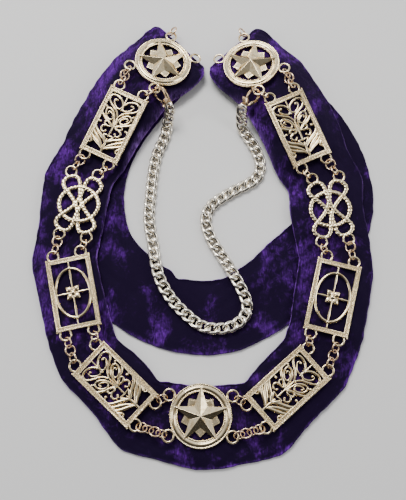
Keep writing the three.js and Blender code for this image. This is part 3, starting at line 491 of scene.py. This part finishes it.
def plate_axes(name, heading, pitch):
    """A plate's axes from its heading and pitch in degrees, and its centre from its CAD node."""
    turn, tip = np.radians(heading), np.radians(pitch)
    spin = np.array([[np.cos(turn), np.sin(turn), 0], [-np.sin(turn), np.cos(turn), 0], [0, 0, 1]])
    lean = np.array([[1, 0, 0], [0, np.cos(tip), -np.sin(tip)], [0, np.sin(tip), np.cos(tip)]])
    axes = spin @ lean
    local = node_vertices(name) @ axes * 1000.0
    low, high = local.min(axis=0), local.max(axis=0)
    centre = np.array([(low[0] + high[0]) / 2, (low[1] + high[1]) / 2, low[2] + PLATE_THICKNESS / 2])
    return axes, axes @ centre


def put_together(name, shells, axes, centre, materials, marks=None):
    """One mesh of several closed shells, from millimetres in a piece's own axes to metres in the frame.
    marks gives each shell's material, by its place in materials."""
    sizes = [len(points) for points, _ in shells]
    starts = np.concatenate([[0], np.cumsum(sizes)[:-1]]).astype(int)
    points = np.concatenate([points for points, _ in shells]) @ np.asarray(axes).T + centre
    faces = [[index + start for index in face] for start, (_, shell) in zip(starts.tolist(), shells)
             for face in shell]
    mesh = bpy.data.meshes.new(name)
    mesh.from_pydata((points / 1000.0).tolist(), [], faces)
    for material in materials:
        mesh.materials.append(material)
    if marks:
        counts = [len(shell) for _, shell in shells]
        mesh.polygons.foreach_set("material_index", np.repeat(marks, counts).astype(np.int32))
    shaded(mesh, True)
    work = bmesh.new()
    work.from_mesh(mesh)
    bmesh.ops.recalc_face_normals(work, faces=work.faces)
    work.to_mesh(mesh)
    work.free()
    piece = bpy.data.objects.new(name, mesh)
    bpy.context.scene.collection.objects.link(piece)
    return piece


def stand_in(piece, node, body="collar"):
    """The finished piece takes its CAD node's place and body: the node is hidden, and the piece joins the
    body.
    """
    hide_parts(node)
    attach(piece, body)


def star_ring():
    """The disc's ring as a turned profile, radius against height, with knurls as waves of the angle."""
    angle = np.linspace(0, 2 * np.pi, 400, endpoint=False)[:, None]
    across = np.linspace(0, 1, 34)[None, :]
    radius = DISC_HOLE_RADIUS + (DISC_RADIUS - DISC_HOLE_RADIUS) * across
    half = PLATE_THICKNESS / 2
    inner = np.exp(-(((across - 0.10) / 0.085) ** 4)) * (0.30 + 0.55 * np.abs(np.cos(angle * 46)))
    band = np.exp(-(((across - 0.50) / 0.235) ** 4)) * (0.45 + 0.75 * np.cos((across - 0.5) * 5.2))
    roping = 0.10 + 0.60 * np.abs(np.cos(angle * 56 + across * 9))
    rim = np.exp(-(((across - 0.90) / 0.085) ** 4)) * roping
    height = half - 0.55 + inner + band + rim - 1.1 * np.clip(across - 0.96, 0, 1) / 0.04
    top = np.stack(np.broadcast_arrays(radius * np.cos(angle), radius * np.sin(angle), height), axis=-1)
    below = np.stack([radius[0, ::-1]] * len(angle))
    bottom = np.stack(np.broadcast_arrays(below * np.cos(angle), below * np.sin(angle),
                                          np.full_like(below, -half)), axis=-1)
    return grid_shell(np.concatenate([top, bottom], axis=1), True, True)


def ridged_star():
    """The star as facets: five tips and five valleys round a raised middle, with a flat back."""
    angle = np.arange(10) * np.pi / 5
    radius = np.where(np.arange(10) % 2, STAR_RADIUS * STAR_VALLEY, STAR_RADIUS)
    outline = np.stack([-radius * np.cos(angle), radius * np.sin(angle)], axis=1)
    height = np.where(np.arange(10) % 2, 0.5, PLATE_THICKNESS / 2 + 0.9)
    top = np.column_stack([outline, height])
    bottom = np.column_stack([outline, np.full(10, -1.0)])
    points = np.concatenate([top, bottom, [[0, 0, STAR_PEAK]]])
    faces = [[20, (i + 1) % 10, i] for i in range(10)]
    faces += [[i, (i + 1) % 10, (i + 1) % 10 + 10, i + 10] for i in range(10)]
    faces.append(list(range(10, 20)))
    return points, faces


def square_burst(radius, top):
    """Five square corners in the star's gaps: ten corners, by turns at the radius and nearer in."""
    angle = np.arange(10) * np.pi / 5
    reach = np.where(np.arange(10) % 2, radius, radius * BURST_NOTCH)
    outline = np.stack([-reach * np.cos(angle), reach * np.sin(angle)], axis=1)
    points = np.concatenate([np.column_stack([outline, np.full(10, top)]),
                             np.column_stack([outline, np.full(10, -0.7)])])
    faces = [list(range(10))[::-1], list(range(10, 20))]
    faces += [[i, (i + 1) % 10, (i + 1) % 10 + 10, i + 10] for i in range(10)]
    return points, faces


def plate_loops(x, y):
    """The four soldered loops of a plate, at x, y and its mirror images."""
    return [torus([sx * x, sy * y, 0.0], LOOP_RADIUS, LOOP_WIRE) for sx in (-1, 1) for sy in (-1, 1)]


def crisp(piece, width, angle=0.6):
    """A fine bevel on the sharp edges, so that they catch the light."""
    bevel = piece.modifiers.new("crisp_edges", "BEVEL")
    bevel.width = width
    bevel.segments = 2
    bevel.limit_method = "ANGLE"
    bevel.angle_limit = angle
    bevel.harden_normals = True


def star_disc(node, heading, pitch, inner_side=-1):
    """A disc, one tip of its star towards the chain's inner side, which is its own -x or +x."""
    axes, centre = plate_axes(node, heading, pitch)
    star_axes = axes * np.array([-inner_side, -inner_side, 1.0])
    loops = plate_loops(DISC_LOOP_REACH * np.sin(DISC_LOOP_ANGLE),
                        DISC_LOOP_REACH * np.cos(DISC_LOOP_ANGLE))
    ring = put_together(node + "_ring", [star_ring(), *loops], axes, centre, [polished_gold])
    stand_in(ring, node)
    star = put_together(node + "_star", [ridged_star(), square_burst(BURST_RADIUS, 0.0),
                                         square_burst(BURST_RADIUS - BURST_INSET, 0.35)],
                        star_axes, centre, [polished_gold, grained_gold], [0, 1, 0])
    shaded(star.data, False)
    crisp(star, STAR_EDGE)
    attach(star, "collar")
    return centre


bottom_centre = star_disc("bottom_disc", 90, 0)
right_shoulder_centre = star_disc("shoulder_disc_right", -44, -12)
left_shoulder_centre = star_disc("shoulder_disc_left", 44, -12, inner_side=1)

# Filigree plates
# Four pierced castings in the same plating: a frame with a stippled border, and inside it paired curls
# with ball ends over a fan of long blade leaves, all cast in one with the frame.
FILIGREE_WIDTH = 43.0
FILIGREE_LENGTH = 73.0
FILIGREE_BORDER = 4.8
LOOP_SPREAD = 13.8
LOOP_STAND = 3.6
STRAND_HALF_WIDTH = 1.05
STRAND_HALF_HEIGHT = 1.15
STIPPLE_PITCH = 1.3
STIPPLE_RADIUS = 0.6
# Each strand of the right half runs through these places, in shares of the window's half width and half
# length, from the leaf end at -1 to the curl end at 1. The first figure is how far the strand swells in
# its middle, and the second is the size of its ball end, both in strand widths.
STRANDS = (
    (0.35, 1.45, ((0.0, 0.26), (0.22, 0.44), (0.55, 0.55), (0.85, 0.65), (0.99, 0.75), (0.95, 0.87),
                  (0.72, 0.93), (0.38, 0.90), (0.14, 0.80), (0.02, 0.68), (0.04, 0.58), (0.22, 0.54),
                  (0.48, 0.61), (0.64, 0.72), (0.62, 0.80), (0.50, 0.79))),
    (0.25, 0.0, ((0.05, -0.10), (0.12, 0.08), (0.19, 0.24), (0.36, 0.37), (0.62, 0.45), (0.82, 0.42),
                 (0.84, 0.30), (0.68, 0.18), (0.46, 0.11), (0.29, 0.13), (0.27, 0.22), (0.42, 0.31),
                 (0.60, 0.35), (0.68, 0.32), (0.60, 0.25))),
    (0.5, 0.0, ((1.12, 0.30), (0.94, 0.19), (0.66, 0.09), (0.39, 0.03), (0.10, -0.09))),
    (0.2, 0.0, ((0.10, -0.06), (0.30, 0.02), (0.46, 0.03), (0.58, 0.0), (0.57, -0.07), (0.38, -0.11),
                (0.14, -0.10))),
    (0.3, 1.3, ((0.22, -0.12), (0.46, -0.12), (0.64, -0.18), (0.62, -0.28), (0.44, -0.34), (0.32, -0.28))),
    (0.2, 1.5, ((1.10, -0.10), (0.98, -0.07), (0.86, -0.06))),
    (0.1, 1.4, ((0.80, 0.43), (0.90, 0.47), (0.94, 0.48))),
    (0.9, 0.0, ((1.10, -0.18), (0.92, -0.32), (0.64, -0.42), (0.31, -0.52), (0.03, -0.66))),
    (0.9, 0.0, ((1.10, -0.34), (0.92, -0.46), (0.64, -0.56), (0.32, -0.69), (0.05, -0.86))),
    (0.9, 0.0, ((1.10, -0.49), (0.92, -0.60), (0.62, -0.70), (0.28, -0.79), (0.05, -0.88))),
    (0.3, 1.2, ((1.10, -0.62), (0.94, -0.70), (0.84, -0.79), (0.96, -0.84))),
    (0.7, 0.0, ((0.0, -0.66), (0.16, -0.55), (0.33, -0.41))),
    (0.2, 0.0, ((0.36, -0.40), (0.18, -0.40), (0.0, -0.41))),
)


def bordered_frame(width, length, border):
    """A flat rectangular frame: a profile across the border, two raised lips with a sunk field between
    them, is carried round the four corners."""
    across = np.array([0.0, 0.02, 0.10, 0.16, 0.20, 0.50, 0.80, 0.84, 0.90, 0.98, 1.0])
    half = PLATE_THICKNESS / 2
    rise = np.array([-0.6, -0.15, 0.0, 0.0, -0.35, -0.35, -0.35, 0.0, 0.0, -0.15, -0.6])
    inset = np.concatenate([across, across[::-1]]) * border
    level = np.concatenate([half + rise, np.full(len(across), -half)])
    corners = np.array([[-1, -1], [1, -1], [1, 1], [-1, 1]], dtype=float)
    outer = np.array([width / 2, length / 2])
    points = corners[:, None, :] * (outer[None, None, :] - inset[None, :, None])
    levels = np.broadcast_to(level[None, :, None], (4, len(level), 1))
    return grid_shell(np.concatenate([points, levels], axis=2), True, True)


def stipple_spots(width, length, border):
    """Three rows of places round the border's sunk field, each shifted by a seeded scatter."""
    rng = np.random.default_rng(4)
    spots = []
    for share in (0.29, 0.50, 0.71):
        w, l = width / 2 - border * share, length / 2 - border * share
        for x0, y0, x1, y1 in ((-w, -l, w, -l), (w, -l, w, l), (w, l, -w, l), (-w, l, -w, -l)):
            count = int(np.hypot(x1 - x0, y1 - y0) / STIPPLE_PITCH)
            run = (np.arange(count) + rng.uniform(-0.25, 0.25, count)) / count
            spots.append(np.column_stack([x0 + (x1 - x0) * run, y0 + (y1 - y0) * run]))
    spots = np.concatenate(spots)
    return spots + rng.uniform(-0.18, 0.18, spots.shape)


def bead_field(spots, radius, level):
    """Many low beads as one shell: the points of one six-sided dome, added to each spot in turn."""
    angle = np.linspace(0, 2 * np.pi, 6, endpoint=False)
    rings = [(1.0, -0.4), (0.72, 0.62)]
    dome = np.concatenate([np.column_stack([np.cos(angle) * r, np.sin(angle) * r, np.full(6, z)])
                           for r, z in rings] + [[[0, 0, 1.0]], [[0, 0, -0.4]]]) * radius
    points = dome[None] + np.column_stack([spots, np.full(len(spots), level)])[:, None]
    side = [[k, (k + 1) % 6, (k + 1) % 6 + 6, k + 6] for k in range(6)]
    top = [[k + 6, (k + 1) % 6 + 6, 12] for k in range(6)]
    base = [[(k + 1) % 6, k, 13] for k in range(6)]
    faces = [[v + 14 * n for v in face] for n in range(len(spots)) for face in side + top + base]
    return points.reshape(-1, 3), faces


def smooth_path(points, spacing):
    """A Catmull-Rom curve through the points, cut into steps of equal length."""
    ends = np.concatenate([[2 * points[0] - points[1]], points, [2 * points[-1] - points[-2]]])
    run = np.linspace(0, 1, 24, endpoint=False)[None, :, None]
    a, b, c, d = ends[:-3, None], ends[1:-2, None], ends[2:-1, None], ends[3:, None]
    curve = 0.5 * (2 * b + (c - a) * run + (2 * a - 5 * b + 4 * c - d) * run ** 2
                   + (3 * b - a - 3 * c + d) * run ** 3)
    curve = np.concatenate([curve.reshape(-1, points.shape[1]), points[-1:]])
    travel = np.concatenate([[0], np.cumsum(np.linalg.norm(np.diff(curve, axis=0), axis=1))])
    count = max(int(round(travel[-1] / spacing)), 2)
    stops = np.linspace(0, travel[-1], count + 1)
    return np.column_stack([np.interp(stops, travel, column) for column in curve.T])


def ball(centre, radius, height, count=12):
    """A bead in rows of circles from pole to pole: each row's radius is the sine of its angle from the
    pole, and its level the cosine, stretched to the height."""
    polar = np.linspace(0.05, np.pi - 0.05, count // 2 + 2)
    angle = np.linspace(0, 2 * np.pi, count, endpoint=False)
    ring = np.stack([np.cos(angle), np.sin(angle), angle * 0], axis=1)
    points = (np.sin(polar)[:, None, None] * ring[None] * radius
              + np.array([0.0, 0.0, 1.0]) * (np.cos(polar) * -height)[:, None, None] + centre)
    return grid_shell(points[::-1], False, True)


def strand(places, side, swell, ball_size, half_width, half_length):
    """A rounded strand along a smooth path, its width a sine of its length, so that it is thin at its
    ends and swells in its middle, with a ball at its end."""
    path = smooth_path(np.array([[side * x * half_width, y * half_length, 0.0] for x, y in places]), 0.9)
    run = np.linspace(0, 1, len(path))
    width = STRAND_HALF_WIDTH * (0.72 + swell * np.sin(np.pi * run) + 0.2 * (1 - run))
    shells = [wire(path, width, STRAND_HALF_HEIGHT * (0.85 + 0.15 * np.sin(np.pi * run)), False, 10)]
    if ball_size:
        shells.append(ball(path[-1], STRAND_HALF_WIDTH * ball_size, 1.6))
    return shells


def frame_nibs(width, length):
    """Two small lugs at each corner of a frame, left where the casting was cut free."""
    return [ball([sx * (width / 2 - inset), sy * (length / 2 + 0.2 - inset * 0.1), 0.0], 1.15, 1.2, 8)
            for sx in (-1, 1) for sy in (-1, 1) for inset in (0.5, 3.6)]


def framed_plate(node, heading, pitch, width, length, border, openwork):
    """A bordered frame with its stipple, lugs and loops round a pierced middle, as one casting."""
    axes, centre = plate_axes(node, heading, pitch)
    beads = bead_field(stipple_spots(width, length, border), STIPPLE_RADIUS, PLATE_THICKNESS / 2 - 0.3)
    shells = [bordered_frame(width, length, border), beads, *openwork, *frame_nibs(width, length),
              *plate_loops(LOOP_SPREAD, length / 2 + LOOP_STAND)]
    marks = [1, 1] + [0] * (len(shells) - 2)
    piece = put_together(node + "_casting", shells, axes, centre, [polished_gold, grained_gold], marks)
    stand_in(piece, node)
    return centre


def filigree_plate(node, heading, pitch):
    """A framed plate: the right half's strands, their mirror image, and a stem in three lengths."""
    half_width = FILIGREE_WIDTH / 2 - FILIGREE_BORDER
    half_length = FILIGREE_LENGTH / 2 - FILIGREE_BORDER
    openwork = []
    for side in (-1, 1):
        for swell, ball_size, places in STRANDS:
            openwork += strand(places, side, swell, ball_size, half_width, half_length)
    for swell, stem in ((0.6, ((0.0, -1.08), (0.0, -0.8), (0.0, -0.5))),
                        (0.2, ((0.0, -0.44), (0.0, -0.2), (0.0, 0.05), (0.0, 0.3))),
                        (0.0, ((0.0, 0.5), (0.0, 0.8), (0.0, 1.08)))):
        openwork += strand(stem, 1, swell, 0, half_width, half_length)
    framed_plate(node, heading, pitch, FILIGREE_WIDTH, FILIGREE_LENGTH, FILIGREE_BORDER, openwork)


filigree_plate("filigree_plate_lower_right", 48, 1)
filigree_plate("filigree_plate_lower_left", -48, 1)
filigree_plate("filigree_plate_upper_right", -25, 7.5)
filigree_plate("filigree_plate_upper_left", 25, 7.5)

# Rosette plates
# Two pierced castings in the same stippled frame: an upright oval band with a four-petal rosette in it,
# held on slim bars.
ROSETTE_WIDTH = 44.0
ROSETTE_LENGTH = 71.5
ROSETTE_BORDER = 4.5
OVAL_HALF_BAND = 1.4
OVAL_SHARE = 0.78
PETAL_LENGTH = 9.0
PETAL_RIB = 0.38


def petal(angle):
    """One petal: a rounded blade from the middle outward, its width a sine of its length."""
    run = np.linspace(0, 1, 16)
    reach = 1.2 + run * (PETAL_LENGTH - 1.2)
    path = np.column_stack([reach * np.cos(angle), reach * np.sin(angle), 0 * run])
    half_width = 0.35 + 2.9 * np.sin(np.pi * run ** 0.8)
    return wire(path, half_width, 0.7 + 0.9 * np.sin(np.pi * run), False, 14)


def petal_rib(angle):
    """The raised rib down a petal's middle: a thin wire that bows over it."""
    run = np.linspace(0, 1, 10)
    reach = 1.6 + run * (PETAL_LENGTH - 2.2)
    bow = 0.75 + 0.75 * np.sin(np.pi * run)
    path = np.column_stack([reach * np.cos(angle), reach * np.sin(angle), bow])
    return wire(path, PETAL_RIB, PETAL_RIB, False, 6)


def rosette_plate(node, heading, pitch):
    """A framed plate: an oval band with a beaded lip, two bars crossing it with a swelling at each side,
    and four petals with ribs round a boss."""
    half_width = ROSETTE_WIDTH / 2 - ROSETTE_BORDER
    half_length = ROSETTE_LENGTH / 2 - ROSETTE_BORDER
    oval_x, oval_y = half_width - OVAL_HALF_BAND / 2, half_length * OVAL_SHARE
    angle = np.linspace(0, 2 * np.pi, 96, endpoint=False)
    oval = np.column_stack([oval_x * np.cos(angle), oval_y * np.sin(angle), 0 * angle])
    lip = np.column_stack([oval_x * np.cos(angle), oval_y * np.sin(angle), 0 * angle + 0.95])
    beading = 0.42 + 0.14 * np.cos(angle * 48)
    openwork = [wire(oval, OVAL_HALF_BAND, 1.1, True), wire(lip, beading, 0.45, True, 8)]
    run = np.linspace(-1, 1, 24)
    swelling = 0.85 + 0.5 * np.exp(-((np.abs(run) - 0.55) / 0.12) ** 2)
    for x, y in ((0.0, half_length + 1), (oval_x, 0.0)):
        bar = np.column_stack([run * x, run * y, 0 * run])
        openwork.append(wire(bar, swelling, 0.95, False))
    openwork += [petal(np.radians(45 + 90 * turn)) for turn in range(4)]
    openwork += [petal_rib(np.radians(45 + 90 * turn)) for turn in range(4)]
    openwork += [ball([0.0, 0.0, 0.5], 2.7, 1.9, 20)]
    openwork += [ball([0.0, sign * (oval_y + 0.4), 0.2], 2.1, 1.7, 14) for sign in (-1, 1)]
    return framed_plate(node, heading, pitch, ROSETTE_WIDTH, ROSETTE_LENGTH, ROSETTE_BORDER, openwork)


rosette_centre = rosette_plate("rosette_plate_right", 13, 1)
rosette_plate("rosette_plate_left", -13, 1)

# Knot plates
# Two cast plates in the form of roped cord: one wide oval and two long loops that pass over and under
# each other. They have the plates' polished plating, and four soldered loops.
KNOT_OVAL_HALF_WIDTH = 20.0
KNOT_OVAL_HALF_LENGTH = 17.8
KNOT_LOOP_HALF_LENGTH = 31.0
KNOT_WAIST = 3.0
KNOT_LOBE = 17.0
KNOT_TILT = np.radians(28)
KNOT_HALF_BAND = 2.2
KNOT_HALF_HEIGHT = 1.2
KNOT_WEAVE = 0.25
KNOT_LOOP_STAND = 6.5
STRAND_PITCH = 3.6


def roped(path, weave):
    """A closed cord laid from strands: its section has two lobes, which go round by a whole number of
    half turns along the path, and weave lifts or lowers it."""
    step = np.linalg.norm(np.roll(path, -1, axis=0) - path, axis=1)
    travel = np.concatenate([[0], np.cumsum(step)[:-1]])
    twists = np.round(step.sum() / STRAND_PITCH)
    phase = travel / step.sum() * twists * 2 * np.pi
    along = np.roll(path, -1, axis=0) - np.roll(path, 1, axis=0)
    along /= np.linalg.norm(along, axis=1)[:, None]
    side = np.cross(along, [0.0, 0.0, 1.0])
    angle = np.linspace(0, 2 * np.pi, 14, endpoint=False)
    lobes = 0.74 + 0.30 * np.abs(np.cos(angle[None, :] - phase[:, None] / 2))
    across = KNOT_HALF_BAND * lobes * np.cos(angle)[None, :]
    height = KNOT_HALF_HEIGHT * lobes * np.sin(angle)[None, :] + weave[:, None]
    points = (path[:, None] + across[..., None] * side[:, None]
              + height[..., None] * np.array([0.0, 0.0, 1.0]))
    return grid_shell(points, True, True)


def knot_plate(node, heading, pitch):
    """An oval and two long loops of roped cord, tilted opposite ways. Round a loop its length goes as the
    cosine, and its width as the sine times a waist and a lobe that grows with the cosine's square."""
    axes, centre = plate_axes(node, heading, pitch)
    angle = np.linspace(0, 2 * np.pi, 520, endpoint=False)
    oval = np.column_stack([KNOT_OVAL_HALF_WIDTH * np.cos(angle), KNOT_OVAL_HALF_LENGTH * np.sin(angle),
                            0 * angle])
    cords = [roped(oval, KNOT_WEAVE * np.cos(4 * angle))]
    for tilt, sign in ((-KNOT_TILT, 1), (KNOT_TILT, -1)):
        reach = (KNOT_WAIST + KNOT_LOBE * np.cos(angle) ** 2) * np.sin(angle)
        length = KNOT_LOOP_HALF_LENGTH * np.cos(angle)
        loop = np.column_stack([reach * np.cos(tilt) - length * np.sin(tilt),
                                reach * np.sin(tilt) + length * np.cos(tilt), 0 * angle])
        cords.append(roped(loop, sign * KNOT_WEAVE * np.cos(3 * angle)))
    lobe_y = KNOT_LOOP_HALF_LENGTH * np.cos(KNOT_TILT)
    shells = [*cords, *plate_loops(LOOP_SPREAD, lobe_y + KNOT_LOOP_STAND - LOOP_WIRE / 3)]
    piece = put_together(node + "_cords", shells, axes, centre, [polished_gold])
    stand_in(piece, node)
    return centre


knot_centre = knot_plate("knot_plate_right", -7, 1.5)
knot_plate("knot_plate_left", 7, 1.5)

# Jump rings
# Forty plain rings of round wire with a redder plating than the plates, bent closed through the plates'
# loops and through each other. Each one lies where its solid does, at the same lean.
COPPER_BRIGHT = (0.88, 0.66, 0.44, 1.0)
COPPER_DULL = (0.46, 0.26, 0.14, 1.0)
RING_RADIUS = 5.15
RING_WIRE = 1.7
copper_gold = plated("copper_tinted_gold", COPPER_BRIGHT, COPPER_DULL, smoothest=0.16, roughest=0.4,
                     grain_depth=0.00004)


def spread_axes(points):
    """The middle of a set of points and its axes, from its widest spread to its narrowest."""
    middle = points.mean(axis=0)
    _, vectors = np.linalg.eigh(np.cov((points - middle).T))
    return middle, vectors[:, ::-1]


for ring_node in sorted(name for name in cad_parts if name.startswith("ring_")):
    ring_middle, ring_axes = spread_axes(node_vertices(ring_node))
    if np.linalg.det(ring_axes) < 0:
        ring_axes[:, 2] *= -1
    ring_shell = torus([0.0, 0.0, 0.0], RING_RADIUS, RING_WIRE, count=32, sides=12)
    jump_ring = put_together(ring_node + "_wire", [ring_shell], ring_axes, ring_middle * 1000.0,
                             [copper_gold])
    stand_in(jump_ring, ring_node)

# Lobster clasps
# Two cast clasps with a brownish plating, hooked on the shoulder discs' lower inner loops. The body keeps
# the hook, the cheeks and the eye, and the lever turns on a pin between the cheeks.
CLASP_BRIGHT = (0.80, 0.60, 0.38, 1.0)
CLASP_DULL = (0.36, 0.21, 0.11, 1.0)
CLASP_EDGE = 0.00035
clasp_gold = plated("brownish_gold", CLASP_BRIGHT, CLASP_DULL, smoothest=0.18, roughest=0.42,
                    grain_depth=0.00003)

for clasp_node in sorted(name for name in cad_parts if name.startswith("clasp_")):
    cast_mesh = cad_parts[clasp_node].data.copy()
    cast_mesh.materials.clear()
    cast_mesh.materials.append(clasp_gold)
    cast_work = bmesh.new()
    cast_work.from_mesh(cast_mesh)
    bmesh.ops.remove_doubles(cast_work, verts=cast_work.verts, dist=1e-6)
    bmesh.ops.dissolve_limit(cast_work, angle_limit=0.01, verts=cast_work.verts, edges=cast_work.edges)
    cast_work.to_mesh(cast_mesh)
    cast_work.free()
    cast = bpy.data.objects.new(clasp_node + "_cast", cast_mesh)
    bpy.context.scene.collection.objects.link(cast)
    crisp(cast, CLASP_EDGE, angle=1.0)
    applied(cast)
    shaded(cast.data, True)
    cast_body = "collar" if clasp_node.startswith("clasp_body") else clasp_node.replace("clasp_", "")
    stand_in(cast, clasp_node, cast_body)

# Curb chain
# A flat chain of twisted oval links, paler and more silvery than the plates, lying in loose curves on the
# floor and the velvet. Its route is the solid's list of places, from the left clasp to the right one, in
# shares of the collar's half span and of its height up to the shoulder discs.
SILVER_BRIGHT = (0.86, 0.80, 0.68, 1.0)
SILVER_DULL = (0.40, 0.34, 0.26, 1.0)
LINK_PITCH = 9.3
LINK_HALF_LENGTH = 6.6
LINK_HALF_WIDTH = 4.4
LINK_TWIST = 1.35
LINK_WIRE = 1.9
LINK_FLATTENED = 0.8
CURB_ROUTE = (
    (-0.32, 0.82), (-0.34, 0.78), (-0.395, 0.735), (-0.425, 0.675), (-0.44, 0.6), (-0.445, 0.53),
    (-0.405, 0.46), (-0.375, 0.4), (-0.325, 0.35), (-0.23, 0.3), (-0.117, 0.262), (-0.015, 0.235),
    (0.11, 0.227), (0.22, 0.233), (0.31, 0.254), (0.35, 0.288), (0.312, 0.328), (0.242, 0.374),
    (0.148, 0.428), (0.062, 0.475), (0.01, 0.53), (0.045, 0.573), (0.14, 0.6), (0.26, 0.626),
    (0.38, 0.648), (0.44, 0.67), (0.455, 0.705), (0.42, 0.745), (0.36, 0.782), (0.3, 0.815),
)
EYE_REACH = 3.0
silver_gold = plated("silvery_gold", SILVER_BRIGHT, SILVER_DULL, smoothest=0.16, roughest=0.38,
                     grain_depth=0.00004)


def clasp_eye(node, disc_middle):
    """The far end of a clasp: the mean of its points that lie farthest from its disc."""
    points = node_vertices(node) * 1000.0
    distance = np.linalg.norm(points - disc_middle, axis=1)
    return points[distance > distance.max() - EYE_REACH].mean(axis=0)


half_span = max(abs(rosette_centre[0] - bottom_centre[0]), abs(knot_centre[0] - bottom_centre[0]))
climb = right_shoulder_centre[1] - bottom_centre[1]
laid = np.array(CURB_ROUTE) * [half_span, climb] + bottom_centre[:2]
left_eye = clasp_eye("clasp_body_left", left_shoulder_centre)
right_eye = clasp_eye("clasp_body_right", right_shoulder_centre)
velvet_surface = BVHTree.FromObject(velvet, bpy.context.evaluated_depsgraph_get())


def ground_under(places):
    """Height of the velvet or the floor under each place in millimetres: where a ray down lands."""
    heights = []
    for x, y in places:
        hit = velvet_surface.ray_cast(Vector((x / 1000, y / 1000, 0.1)), Vector((0, 0, -1)))
        heights.append(hit[0].z * 1000 if hit[0] else 0.0)
    return np.array(heights)


# Each place of the route lies on the highest ground under the link's middle and its four sides.
link_reach = LINK_HALF_WIDTH + LINK_WIRE
link_depth = LINK_TWIST + LINK_WIRE * LINK_FLATTENED
ground = np.max([ground_under(laid + shift) for shift in
                 ([0, 0], [link_reach, 0], [-link_reach, 0], [0, link_reach], [0, -link_reach])], axis=0)
route = np.concatenate([[left_eye], np.column_stack([laid, ground + link_depth]), [right_eye]])
stations = smooth_path(route, LINK_PITCH)
stations[:, 2] = np.maximum(stations[:, 2], link_depth)


def curb_link(here, there):
    """One link between two places: an oval wire, raised and lowered by a sine that goes round twice, so
    that its ends lie across its neighbours'. It is lifted where it would go below the floor."""
    along = there - here
    along /= np.linalg.norm(along)
    side = np.cross(along, [0.0, 0.0, 1.0])
    side /= np.linalg.norm(side)
    lift = np.cross(side, along)
    angle = np.linspace(0, 2 * np.pi, 26, endpoint=False)
    local = np.column_stack([LINK_HALF_LENGTH * np.cos(angle), LINK_HALF_WIDTH * np.sin(angle),
                             LINK_TWIST * np.sin(2 * angle)])
    points, faces = wire(local, LINK_WIRE, LINK_WIRE * LINK_FLATTENED, True, 10)
    points = points @ np.array([along, side, lift]) + (here + there) / 2
    return points + [0.0, 0.0, max(0.0, -points[:, 2].min())], faces


curb_links = [curb_link(here, there) for here, there in zip(stations[:-1], stations[1:])]
curb = put_together("curb_chain_links", curb_links, np.eye(3), np.zeros(3), [silver_gold])
stand_in(curb, "curb_chain")

# Floor and light
# A plain pale floor, a large soft light beyond the shoulder discs with a weaker one at each side, and a
# sky that is brighter on that side. The floor lies just below the chain, so that their faces never meet.
FLOOR_COLOUR = (0.74, 0.73, 0.71, 1.0)
FLOOR_HALF_SIZE = 3.0
FLOOR_LEVEL = -0.0002
SKY_COLOUR = (0.86, 0.88, 0.94, 1.0)
floor_corners = [(x * FLOOR_HALF_SIZE, y * FLOOR_HALF_SIZE, 0.0)
                 for x, y in ((-1, -1), (1, -1), (1, 1), (-1, 1))]
floor_mesh = bpy.data.meshes.new("floor")
floor_mesh.from_pydata(floor_corners, [], [(0, 1, 2, 3)])
floor = bpy.data.objects.new("floor", floor_mesh)
bpy.context.scene.collection.objects.link(floor)
floor.location.z = FLOOR_LEVEL
paper = bpy.data.materials.new("pale_paper")
paper.use_nodes = True
paper.node_tree.nodes["Principled BSDF"].inputs["Base Color"].default_value = FLOOR_COLOUR
paper.node_tree.nodes["Principled BSDF"].inputs["Roughness"].default_value = 0.9
floor_mesh.materials.append(paper)


def softbox(name, place, size, power):
    """A rectangular area light at a place, turned to the middle of the chain."""
    data = bpy.data.lights.new(name, "AREA")
    data.shape = "RECTANGLE"
    data.size, data.size_y = size
    data.energy = power
    lamp = bpy.data.objects.new(name, data)
    lamp.location = place
    lamp.rotation_euler = (Vector((0, 0, 0)) - Vector(place)).to_track_quat("-Z", "Y").to_euler()
    bpy.context.scene.collection.objects.link(lamp)


softbox("key_light", (-0.35, 0.85, 1.25), (0.8, 0.55), power=22.0)
softbox("fill_light", (1.1, -0.1, 0.8), (0.4, 0.8), power=5.0)
softbox("side_light", (-1.2, -0.3, 0.7), (0.4, 0.7), power=4.0)
world = bpy.data.worlds.new("studio")
bpy.context.scene.world = world
world.use_nodes = True
sky_nodes, sky_links = world.node_tree.nodes, world.node_tree.links
sky = sky_nodes["Background"]
sky.inputs["Color"].default_value = SKY_COLOUR
sky_direction = sky_nodes.new("ShaderNodeTexCoord")
sky_parts = sky_nodes.new("ShaderNodeSeparateXYZ")
sky_fall = sky_nodes.new("ShaderNodeMapRange")
sky_fall.inputs["From Min"].default_value = -0.45
sky_fall.inputs["From Max"].default_value = 0.65
sky_fall.inputs["To Min"].default_value = 0.06
sky_fall.inputs["To Max"].default_value = 1.15
sky_links.new(sky_direction.outputs["Generated"], sky_parts.inputs["Vector"])
sky_links.new(sky_parts.outputs["Y"], sky_fall.inputs["Value"])
sky_links.new(sky_fall.outputs["Result"], sky.inputs["Strength"])
